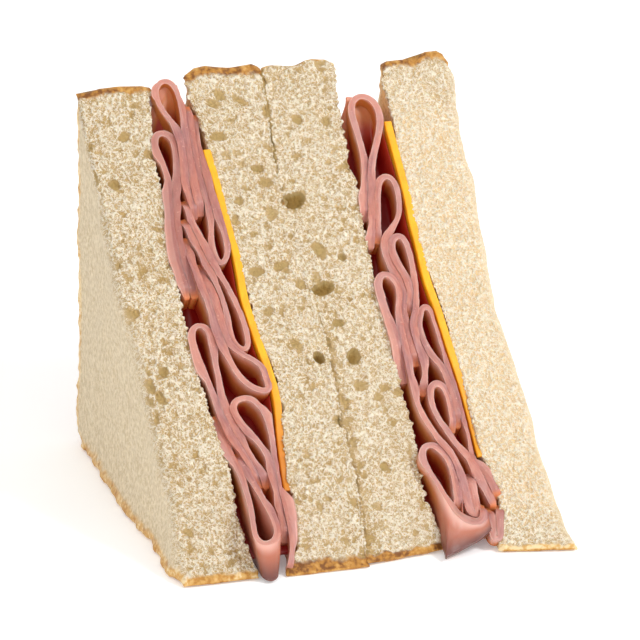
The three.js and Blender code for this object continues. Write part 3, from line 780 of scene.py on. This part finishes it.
NOTHING_NEAR = 9.0  # stands for the distance to a neighbour where there is none
TOUCHING, FILLS = 2.3, 0.8  # the widest gap that is closed, and how much wider to another slice
HAM_OVERLAP, THINNEST, THICKEST = 0.14, 0.7, 1.7  # of half a slice that something presses on
LEFT_REACH = 2.4  # how near the bread on its left has to be for a slice to reach out to it
RIGHT_SHORT = 0.8  # how far a slice that reaches out to its right stops short


def half_thickness(ribbons, lines, walls):
    """How far each slice reaches to its two sides, and how free of a neighbour each side is.

    A slice fills half the space to one that it nearly touches, and thins where it is squeezed.
    Where a bread or cheese face is all that is beside it and near enough, it reaches out to that.
    """
    points = np.vstack(lines)
    owner = np.repeat(np.arange(len(lines)), [len(line) for line in lines])
    low, high = walls(points[:, 1])
    found = []
    for number, (ribbon, line) in enumerate(zip(ribbons, lines)):
        thick = ribbon.get("thick", 1.0)
        run = np.gradient(line, axis=0)
        run /= np.linalg.norm(run, axis=1, keepdims=True)
        aside = np.stack([run[:, 1], -run[:, 0]], -1)
        apart = points[None] - line[:, None]
        ahead = np.einsum("ijk,ik->ij", apart, aside)
        beside = abs(np.einsum("ijk,ik->ij", apart, run))
        mine = np.flatnonzero(owner == number)
        linked = (owner == number) & (abs(mine[:, None] - np.arange(len(points))) < 8)
        from_end = np.minimum(np.arange(len(line)), np.arange(len(line))[::-1])
        sides = []
        for way in (-1, 1):
            seen = (way * ahead > 0.3) & (beside < 0.8) & ~linked
            other = np.where(seen & (owner != number), way * ahead, NOTHING_NEAR).min(axis=1)
            gap = np.where(seen, way * ahead, NOTHING_NEAR).min(axis=1)
            lean = way * aside[:, 0]
            room = np.where(lean > 0, high[mine] - line[:, 0], line[:, 0] - low[mine])
            room = room / np.maximum(abs(lean), 0.3)
            gap = np.minimum(gap, 2 * room)
            closed = np.where(other > gap, gap, gap - ribbon.get("fills", FILLS))
            free = smooth((closed - TOUCHING) / 0.8)
            pressed = np.clip(gap / 2 + HAM_OVERLAP, THINNEST, THICKEST)
            half = pressed * (1 - free) + thick * HAM / 2 * free
            reaches = np.where(lean > 0, ribbon.get("to_bread", 0.0) * (from_end > 5), LEFT_REACH)
            by_bread = (abs(lean) > 0.6) & (gap > 1.6 * room) & (room < reaches)
            half = np.where(by_bread, np.where(lean > 0, room - RIGHT_SHORT, room), half)
            padded = np.pad(np.stack([half, free]), ((0, 0), (3, 3)), mode="edge")
            sides.append([np.convolve(row, np.ones(7) / 7, mode="valid") for row in padded])
        found.append(np.moveaxis(np.array(sides), -1, 0))
    return found


# The way the drooping folds slip out of the sandwich: forward, a little up and to the left.
SLIP = np.array([-0.26, -0.9, 0.34])
HAM_LEVELS, HANGING_LEVELS, HAM_FACE = 13, 26, 10
HAM_ROUNDING = 0.22
END_DEPTH = 1.4  # how deep in the cut the two ends of a slice lie
USUAL_SINKS = (3.5, 3.5)


def slice_of_ham(name, side, ribbon, line, reach_aside, seed, material):
    """One folded slice: a strip on the cut face, drawn in from there towards the crust."""
    before, after = np.vstack([line[:1], line[:-1]]), np.vstack([line[1:], line[-1:]])
    run = after - before
    run /= np.linalg.norm(run, axis=1, keepdims=True)
    aside = np.stack([run[:, 1], -run[:, 0]], -1)[:, None]
    along_it = np.concatenate([[0], np.cumsum(np.linalg.norm(np.diff(line, axis=0), axis=1))])
    from_end = np.minimum(along_it, along_it[-1] - along_it)[:, None]
    centre = line[:, 0].mean()
    line = line[:, None]

    hang = ribbon.get("hang")
    levels = HANGING_LEVELS if hang else HAM_LEVELS
    inward = np.linspace(0, 1, levels) ** (1.3 if hang else 2.4)
    back_across = np.array([-1, 0, 1])
    face = np.linspace(-1, 1, HAM_FACE)
    over = np.concatenate([face, np.ones(levels), back_across[::-1], -np.ones(levels)])
    share = np.concatenate([np.zeros(HAM_FACE), inward, np.ones(3), inward[::-1]])
    rounded = np.concatenate([1 - np.sqrt(1 - 0.96 * face**6), np.zeros(2 * levels + 3)])

    thin = 0.93 + 0.10 * flat_noise(along_it[:, None], share * 20, 7.0, seed)
    thin = thin * (0.55 + 0.45 * np.sqrt(ease(from_end, -0.25, 0.9)))
    proud = ribbon["proud"] + 0.45 * flat_noise(along_it[:, None], 0.0, 11.0, seed + 1)
    proud = proud + 0.12 * flat_noise(along_it[:, None], over, 2.5, seed + 2)
    ends = zip((along_it, along_it[-1] - along_it), ribbon.get("sinks", USUAL_SINKS))
    sunk = np.max([1 - smooth(run_from / length) for run_from, length in ends], axis=0)[:, None]
    proud = proud - (END_DEPTH + proud) * sunk
    half = np.where(over < 0, reach_aside[:, 0, 0, None], reach_aside[:, 1, 0, None])
    free = np.where(over < 0, reach_aside[:, 0, 1, None], reach_aside[:, 1, 1, None])
    thin = 1 + (thin - 1) * np.maximum(free, from_end < 1.5)
    rounded = rounded * (0.3 + 0.7 * free)
    corner = line + aside * (over * half * thin)[..., None]
    reach = ham_depth(line[..., 1], ribbon["cap"]) + proud
    deep = share * reach - proud + HAM_ROUNDING * rounded
    points = place(pinch(corner[..., 0], deep, MIDDLE[side]), corner[..., 1], deep)
    if hang:
        lip = place(corner[..., 0], corner[..., 1], -proud + HAM_ROUNDING * rounded) + SLIP * hang["out"]
        if "edge" in hang:
            edge_x, edge_down = hang["edge"](corner[..., 0])
            edge_down = np.maximum(corner[..., 1] + 0.5, edge_down)
            foot = place(edge_x, edge_down, 0.9 * (1 + over) - proud) + SLIP * hang["out"]
            foot[..., 2] = np.maximum(foot[..., 2], TABLE_CLEARANCE)
        else:
            foot = np.stack([
                centre + (lip[..., 0] - centre) * 0.6 + 0.4,
                lip[..., 1] - 2.0,
                hang["low"](corner[..., 0]) + TABLE_CLEARANCE,
            ], -1)
        drooping = lip + (foot - lip) * share[:, None]
        freed = smooth((line[..., 1:] - hang["from"]) / (hang["full"] - hang["from"]))
        points = points + (drooping - points) * freed

    normals = outward_normals(points, OUT_OF_CUT)
    height = uneven("ham", points, seed)
    points = points + normals * (height * np.minimum(from_end, 1))[..., None]
    points[..., 2] = np.maximum(points[..., 2], 0.2)
    # Painted shade and light on the ham's sides: how far in a point lies sets how far their colour goes
    # from peach through orange to deep red. Sides that face left get less of it, deep slices take it from
    # the nearer end, the insides of the top loops turn orange sooner, and their darkest red comes later.
    into = share * reach * (1 - 0.5 * smooth(-1.4 * aside[..., 0] * over))
    behind = 1.2 * (1 - share) * reach
    into = into + (np.minimum(into, behind) - into) * ease(reach, 12, 10)
    hollow_shade = into * (0.25 + 0.75 * ease(line[..., 1], 6, 16))
    into = into * (1 + 5 * np.exp(-np.maximum(line[..., 1], 0) / 9))
    # How far down the hanging folds a point lies, which sets their painted shade.
    droop_shade = 0.0
    if hang:
        droop_shade = share * freed[..., 0]
        into, hollow_shade = (depth * (1 - freed[..., 0]) for depth in (into, hollow_shade))
    cut = 1 - ease(into, 0.2, 1.3)
    end = ribbon.get("orange", 1.0) * (1 - ease(from_end, 0.3, 2.4))
    return skin(
        f"{name}_slice", points, material, name,
        {
            "cut": cut, "rim_highlight": (0.3 + 0.7 * np.abs(over) ** 5) * free, "end": end,
            "lengthwise": along_it[:, None], "across": over, "into": into, "hollow_shade": hollow_shade,
            "droop_shade": droop_shade, "brown": ribbon.get("brown", 0.0),
        },
    )


BACKING_COLUMNS = (26, 3, 3, 3, 8, 3, 3, 3)
BACKING_START, BACKING_END = {"left": -0.8, "right": 8.0}, 151.0
BACKING_THICK, BACKING_DEEPEST = 1.3, 9.5


def ham_behind(side, low_face, seed, material):
    """The deeper folds of ham that close off the hollows, and come forward beside the cheese."""
    start = BACKING_START[side]
    down, openness = rows_between(start, BACKING_END, 0.6, 0.9)
    x_low = along(low_face, down) + 0.6 + 2.6 * smooth((start + 8 - down) / 8)
    width = cheese_edge(side, down) - 0.4 - x_low
    width = width * (1 - 0.3 * smooth((start + 8 - down) / 8))
    far = np.minimum(2.6 + 0.35 * (down - start), BACKING_DEEPEST)
    far = np.minimum(far, 2.5 + 0.6 * (BACKING_END - down))
    near = far - BACKING_THICK * openness
    across, deep = ring(width, near, far, (0.3,) * 4, BACKING_COLUMNS)
    down = np.broadcast_to(down, across.shape)
    beside = smooth(1 - (width - across) / 2.6) * ease(down, 14, 6) * smooth((140 - down) / 8)
    folds = 1.1 * flat_noise(down / 2.4, across, 3.2, seed)
    forward = beside * (near - 1.4) + (1 - beside) * folds * smooth(down / 12)
    points = place(pinch(x_low + across, deep - forward, MIDDLE[side]), down, deep - forward)
    points[..., 2] = np.maximum(points[..., 2], 0.3)
    # Painted shade on the folds behind: redder further down, and paler where they come forward beside the
    # cheese and beside the bread on their left.
    into = 1.6 + 7.4 * ease(down - start, 3, 18) - 3.5 * beside
    into = into - 5.0 * (1 - smooth(across / 3.0)) * (1 - 0.6 * ease(down, 25, 10))
    layers = {
        "cut": 0.0, "rim_highlight": 0.0, "end": 0.0, "lengthwise": down, "across": across, "into": into,
        "hollow_shade": into, "droop_shade": 0.0, "brown": 0.0,
    }
    return skin(f"ham_{side}_behind", points, material, None, layers)


def filling(side, low_face, high_face, seed, material):
    top = CHEESE_TOP[side]

    def walls(down):
        beside = (down > top - PAST_CHEESE) & (down < top + CHEESE_EDGE + PAST_CHEESE)
        low, high = along(low_face, down) - BREAD_GIVE, along(high_face, down) + BREAD_GIVE
        return low, np.where(beside, cheese_edge(side, down) - CHEESE_GAP, high)

    ham_behind(side, low_face, seed, material)
    ribbons = HAM_SLICES[side]
    lines = [spline(line, 2) for line in settle(ribbons, walls)]
    widths = half_thickness(ribbons, lines, walls)
    for number, (ribbon, line, width) in enumerate(zip(ribbons, lines, widths), 1):
        slice_of_ham(f"ham_{side}_{number}", side, ribbon, line, width, seed + 10 * number, material)


def colour(red, green, blue):
    """A linear colour from the usual values from 0 to 255."""
    shares = np.array([red, green, blue]) / 255
    linear = np.where(shares <= 0.04045, shares / 12.92, ((shares + 0.055) / 1.055) ** 2.4)
    return (*linear.tolist(), 1.0)


class Look:
    """A material whose node tree is built a step at a time."""

    def __init__(self, name):
        self.material = bpy.data.materials.new(name)
        self.material.use_nodes = True
        self.tree = self.material.node_tree
        self.shader = self.tree.nodes["Principled BSDF"]
        self.place = self.node("TexCoord").outputs["Object"]

    def put(self, socket, value):
        if isinstance(value, bpy.types.NodeSocket):
            self.tree.links.new(value, socket)
        else:
            socket.default_value = value

    def node(self, kind, inputs=(), **settings):
        """A new node with its settings, and with a link or value in each of the inputs."""
        node = self.tree.nodes.new("ShaderNode" + kind)
        for key, value in settings.items():
            setattr(node, key, value)
        for key, value in inputs:
            self.put(node.inputs[key], value)
        return node

    def attribute(self, name):
        return self.node("Attribute", attribute_name=name).outputs["Fac"]

    def math(self, operation, *values):
        return self.node("Math", enumerate(values), operation=operation).outputs[0]

    def spread(self, value, low, high, out_low=0.0, out_high=1.0):
        """From out_low to out_high as a value goes from low to high."""
        values = enumerate((value, low, high, out_low, out_high))
        return self.node("MapRange", values, interpolation_type="SMOOTHSTEP").outputs[0]

    def noise(self, size_mm, detail=2.0, where=None, roughness=0.5):
        values = {"Vector": where or self.place, "Scale": 1 / (size_mm * MM)}
        values |= {"Detail": detail, "Roughness": roughness}
        return self.node("TexNoise", values.items()).outputs["Fac"]

    def cells(self, size_mm):
        """Distance from the walls between cells of a size, a little bent."""
        bend = {"Vector": self.place, "Scale": 0.8 / (size_mm * MM)}
        bend = self.node("TexNoise", bend.items()).outputs["Color"]
        values = enumerate((bend, (0.9 * size_mm * MM,) * 3, self.place))
        bent = self.node("VectorMath", values, operation="MULTIPLY_ADD").outputs[0]
        values = {"Vector": bent, "Scale": 1 / (size_mm * MM)}.items()
        return self.node("TexVoronoi", values, feature="DISTANCE_TO_EDGE").outputs["Distance"]

    def mix(self, share, first, second):
        """The first colour where share is 0 and the second where it is 1."""
        first, second = (colour(*c) if isinstance(c, tuple) else c for c in (first, second))
        values = (0, share), (6, first), (7, second)  # the last two are the inputs for colours
        return self.node("Mix", values, data_type="RGBA").outputs[2]

    def fade(self, value, low, high, first, second):
        """From the first colour to the second as a value goes from low to high."""
        return self.mix(self.spread(value, low, high), first, second)

    def bump(self, height, distance_mm, strength, normal=None):
        values = {"Distance": distance_mm * MM, "Strength": strength, "Height": height}
        if normal:
            values["Normal"] = normal
        return self.node("Bump", values.items()).outputs[0]

    def finish(self, **inputs):
        names = {socket.name.lower().replace(" ", "_"): socket for socket in self.shader.inputs}
        for key, value in inputs.items():
            self.put(names[key], value)
        return self.material


def bread_look():
    look = Look("soft_white_bread")
    layers = ("pit_and_shade", "baked", "side", "bake", "grain", "dull_and_shade")
    pit_and_shade, baked, side, bake, raised_highlight, dull_and_shade = (look.attribute(name) for name in layers)
    drift, grain, fine = look.noise(9.0, 2.0), look.noise(1.3, 3.0), look.noise(0.35, 3.0, None, 0.6)
    painted_glint = look.noise(0.3, 2.0, None, 0.7)
    open_face = look.math("SUBTRACT", 1.0, side)

    # Thin pale walls stand round small smooth cells. Painted highlight lightens the walls, glinting
    # specks and raised grain, but not the pits.
    large, small = look.cells(1.45), look.cells(0.64)
    wall, thin = look.spread(large, 0.0, 0.16, 0.9, 0.0), look.spread(small, 0.0, 0.22, 0.9, 0.0)
    wall = look.math("MULTIPLY", wall, look.spread(fine, 0.3, 0.6, 0.4, 1.0))
    thin = look.math("MULTIPLY", thin, look.spread(fine, 0.35, 0.6))
    wall_and_highlight = look.math("MAXIMUM", wall, thin)
    wall_and_highlight = look.math("MAXIMUM", wall_and_highlight, look.spread(painted_glint, 0.55, 0.65, 0.0, 1.0))
    wall_and_highlight = look.math("ADD", wall_and_highlight, look.spread(raised_highlight, 0.3, 0.85, -0.25, 0.45))
    wall_and_highlight = look.math("SUBTRACT", wall_and_highlight, look.spread(pit_and_shade, 0.1, 1.1, 0.0, 1.6))
    # Painted shade: the cells are coloured darker and more olive the deeper their pit.
    cell = look.fade(drift, 0.3, 0.7, (206, 172, 118), (220, 190, 142))
    cell = look.fade(pit_and_shade, 0.25, 1.2, cell, (200, 172, 114))
    cell = look.fade(pit_and_shade, 1.2, 2.4, cell, (156, 122, 58))
    # Painted shade and light: dullness darkens the crumb of the left-hand slices and of the torn sides,
    # and the least dull slice gets a paler crumb.
    crumb = look.mix(look.math("MULTIPLY", dull_and_shade, 0.5), cell, (196, 160, 98))
    pale = look.fade(dull_and_shade, 0.0, 0.4, (240, 206, 154), crumb)
    crumb = look.fade(pit_and_shade, 0.3, 1.0, pale, crumb)
    # Painted highlight: near white where the walls, specks and raised grain would catch the light.
    crumb = look.fade(wall_and_highlight, 0.0, 0.8, crumb, (255, 242, 219))
    plain = look.fade(grain, 0.3, 0.7, (217, 201, 172), (187, 168, 136))
    golden = look.fade(grain, 0.3, 0.7, (226, 178, 112), (196, 140, 72))
    plain = look.fade(dull_and_shade, 0.9, 1.6, plain, golden)
    crumb = look.mix(look.math("MULTIPLY", side, 0.85), crumb, plain)
    shade = look.math("ADD", bake, look.spread(grain, 0.3, 0.7, -0.3, 0.3))
    crust = look.fade(shade, -0.1, 0.4, (230, 204, 156), (208, 162, 90))
    crust = look.fade(shade, 0.3, 0.8, crust, (184, 128, 52))
    crust = look.fade(shade, 0.7, 1.3, crust, (122, 72, 22))
    base = look.mix(baked, crumb, crust)
    rough = look.spread(baked, 0.3, 1.0, 0.9, 0.42)
    relief = look.bump(look.math("MULTIPLY", wall_and_highlight, open_face), 0.35, 0.7)
    relief = look.bump(fine, 0.3, 0.6, relief)
    relief = look.bump(grain, 0.5, 0.3, relief)
    return look.finish(
        base_color=base, roughness=rough, normal=relief, subsurface_weight=0.12,
        subsurface_radius=(1.0, 0.7, 0.4), subsurface_scale=0.5 * MM, specular_ior_level=0.35,
    )


def ham_look():
    look = Look("cooked_ham")
    layers = ("cut", "rim_highlight", "end", "lengthwise", "across", "into", "hollow_shade")
    cut, rim_highlight, end, lengthwise, across, into, hollow_shade = (look.attribute(name) for name in layers)

    # The streaks are drawn along the strip, in its own coordinates.
    strip = look.tree.nodes.new("ShaderNodeCombineXYZ")
    for socket, value, scale in zip(strip.inputs, (lengthwise, across, into), (0.14, 0.9, 0.1)):
        look.put(socket, look.math("MULTIPLY", value, scale * MM))
    streaks = look.noise(0.45, 3.0, strip.outputs[0])
    cloud, fleck, fine = look.noise(6.0, 3.0), look.noise(0.8, 2.0), look.noise(0.3, 2.0)
    tone = look.noise(2.6, 1.0, strip.outputs[0])
    salmon = look.fade(streaks, 0.2, 0.8, (192, 127, 109), (173, 104, 91))
    mauve = look.fade(streaks, 0.2, 0.8, (177, 121, 114), (154, 98, 94))
    pink = look.fade(tone, 0.38, 0.62, salmon, mauve)
    pink = look.mix(look.attribute("brown"), pink, (150, 92, 82))
    # Painted highlight: the free edges of each strip are paler.
    pink = look.mix(look.math("MULTIPLY", rim_highlight, 0.75), pink, (228, 178, 162))
    pink = look.mix(look.spread(fleck, 0.64, 0.76, 0.0, 0.4), pink, (222, 168, 152))
    # Painted shade on the ham's sides: peach near the cut, orange further in, and deep red in the
    # hollows.
    side_shade = look.fade(into, 0.3, 2.4, (204, 132, 100), (192, 112, 52))
    side_shade = look.fade(hollow_shade, 1.8, 4.5, side_shade, (164, 52, 26))
    side_shade = look.fade(hollow_shade, 4.0, 8.5, side_shade, (104, 8, 8))
    # A painted glow of deep red in the deepest hollows, standing in for light through the ham.
    painted_glow = look.spread(hollow_shade, 2.5, 7.0, 0.0, 0.07)
    base = look.mix(cut, side_shade, pink)
    # Painted shade: the folds that hang out go from salmon to dark brown towards their lower edge, where
    # they turn under.
    droop_shade = look.attribute("droop_shade")
    base = look.fade(droop_shade, 0.0, 0.35, base, (178, 106, 82))
    base = look.fade(droop_shade, 0.25, 1.0, base, (106, 60, 52))
    base = look.mix(look.math("MULTIPLY", end, 0.75), base, (222, 128, 62))
    rough = look.spread(cloud, 0.3, 0.7, 0.36, 0.5)
    relief = look.bump(fine, 0.12, 0.35)
    relief = look.bump(streaks, 0.12, 0.25, relief)
    return look.finish(
        base_color=base, roughness=rough, normal=relief, subsurface_weight=0.4,
        subsurface_radius=(1.0, 0.3, 0.2), subsurface_scale=1.5 * MM, specular_ior_level=0.5,
        emission_color=colour(190, 14, 10), emission_strength=painted_glow,
    )


def cheese_look():
    look = Look("sliced_cheese")
    cloud, fine = look.noise(5.0, 2.0), look.noise(0.6, 2.0)
    base = look.fade(cloud, 0.3, 0.7, (250, 180, 26), (243, 166, 16))
    # Painted shade towards the lower end of each slice.
    base = look.mix(look.attribute("low"), base, (212, 130, 26))
    relief = look.bump(fine, 0.08, 0.3)
    return look.finish(
        base_color=base, roughness=look.spread(cloud, 0.3, 0.7, 0.34, 0.44), normal=relief,
        subsurface_weight=0.5, subsurface_radius=(1.0, 0.6, 0.15), subsurface_scale=2.0 * MM,
        specular_ior_level=0.5,
    )


def floor_look():
    look = Look("pale_floor")
    cloud = look.noise(60.0, 2.0)
    base = look.fade(cloud, 0.3, 0.7, (250, 250, 250), (247, 247, 247))
    return look.finish(
        base_color=base, roughness=0.9, specular_ior_level=0.2, emission_color=colour(255, 255, 255),
        emission_strength=0.2,
    )


def face(name, side):
    return lambda down, deep: pinch(along(FACES[name], down), deep, MIDDLE[side])


def outer(name):
    return lambda down, deep: outward(along(FACES[name], down), down, deep)


def seam(side):
    """The middle slices press into each other, but part at the top."""
    return lambda down, deep: along(FACES["seam"], down) + side * (SEAM_PRESS - crack(down, deep))


bread, ham, cheese = bread_look(), ham_look(), cheese_look()
slice_of_bread("bread_1", 100, outer("outer_left"), face("inner_1", "left"), bread)
slice_of_bread("bread_2", 200, face("inner_2", "left"), seam(1), bread)
slice_of_bread("bread_3", 300, seam(-1), face("inner_3", "right"), bread)
slice_of_bread("bread_4", 400, face("inner_4", "right"), outer("outer_right"), bread)
slice_of_cheese("left", 500, cheese)
slice_of_cheese("right", 520, cheese)
filling("left", FACES["inner_1"], FACES["inner_2"], 600, ham)
filling("right", FACES["inner_3"], FACES["inner_4"], 800, ham)


FLOOR_HALF_WIDTH, FLOOR_FRONT, FLOOR_BACK = 3.5, -2.5, 1.6
WALL_AT, WALL_TOP, WALL_BEND = 2.4, 3.5, 0.8
FLOOR_GAP = 0.0002  # keeps the floor just below the sandwich


def pale_floor(material):
    """A floor that curves up far behind the sandwich into a wall."""
    profile = [(FLOOR_FRONT, 0.0), (FLOOR_BACK, 0.0)]
    for a in np.linspace(0.1, 1.57, 14):
        profile.append((FLOOR_BACK + WALL_BEND * math.sin(a), WALL_BEND - WALL_BEND * math.cos(a)))
    profile.append((WALL_AT, WALL_TOP))
    across = (-FLOOR_HALF_WIDTH, FLOOR_HALF_WIDTH)
    corners = [(x, y, z - FLOOR_GAP) for y, z in profile for x in across]
    quads = [(2 * k, 2 * k + 1, 2 * k + 3, 2 * k + 2) for k in range(len(profile) - 1)]
    mesh = bpy.data.meshes.new("floor")
    mesh.from_pydata(corners, [], quads)
    mesh.shade_smooth()
    mesh.materials.append(material)
    floor = show("floor", mesh)


LIT = (0, 0, 50)  # what both lights face, in millimetres


def soft_light(name, place_mm, size_mm, watts):
    data = bpy.data.lights.new(name, "AREA")
    data.shape, data.size = "DISK", size_mm * MM
    data.energy = watts
    light = show(name, data)
    light.location = Vector(place_mm) * MM
    light.rotation_euler = (Vector(LIT) - Vector(place_mm)).to_track_quat("-Z", "Y").to_euler()


pale_floor(floor_look())
soft_light("key", (480, -420, 640), size_mm=230, watts=3.9)
soft_light("front", (-700, -1100, 500), size_mm=500, watts=4.2)

ROOM_LIGHT = 0.8
world = bpy.data.worlds.new("studio")
world.use_nodes = True
background = world.node_tree.nodes["Background"].inputs
background["Color"].default_value, background["Strength"].default_value = (1, 1, 1, 1), ROOM_LIGHT
bpy.context.scene.world = world
bpy.context.scene.view_settings.view_transform = "Standard"

# The camera stands a little to the left, and looks down on the cut faces from a long way off.
CAMERA_TURN, CAMERA_HEIGHT = math.radians(-16.12), math.radians(20.04)
CAMERA_DISTANCE = 1350.0
LENS, SENSOR, CLIP = 267.69, 36.0, (0.1, 20.0)
AIM_HEIGHT = 53.5
FRAMED_LEFT, FRAMED_DOWN = 0.40, 1.20  # small shifts of the aim in the picture's own directions
towards = np.array([
    -math.sin(CAMERA_TURN) * math.cos(CAMERA_HEIGHT),
    math.cos(CAMERA_TURN) * math.cos(CAMERA_HEIGHT),
    -math.sin(CAMERA_HEIGHT),
])
rightward = np.array([math.cos(CAMERA_TURN), math.sin(CAMERA_TURN), 0.0])
upward = np.cross(rightward, towards)
aim = np.array([0.0, 0.0, AIM_HEIGHT]) - ORIGIN
aim = aim - FRAMED_LEFT * rightward - FRAMED_DOWN * upward
camera_data = bpy.data.cameras.new("camera")
camera_data.lens, camera_data.sensor_width = LENS, SENSOR
camera_data.clip_start, camera_data.clip_end = CLIP
camera = show("camera", camera_data)
camera.location = Vector((aim - towards * CAMERA_DISTANCE) * MM)
camera.rotation_euler = Vector(towards).to_track_quat("-Z", "Y").to_euler()
bpy.context.scene.camera = camera
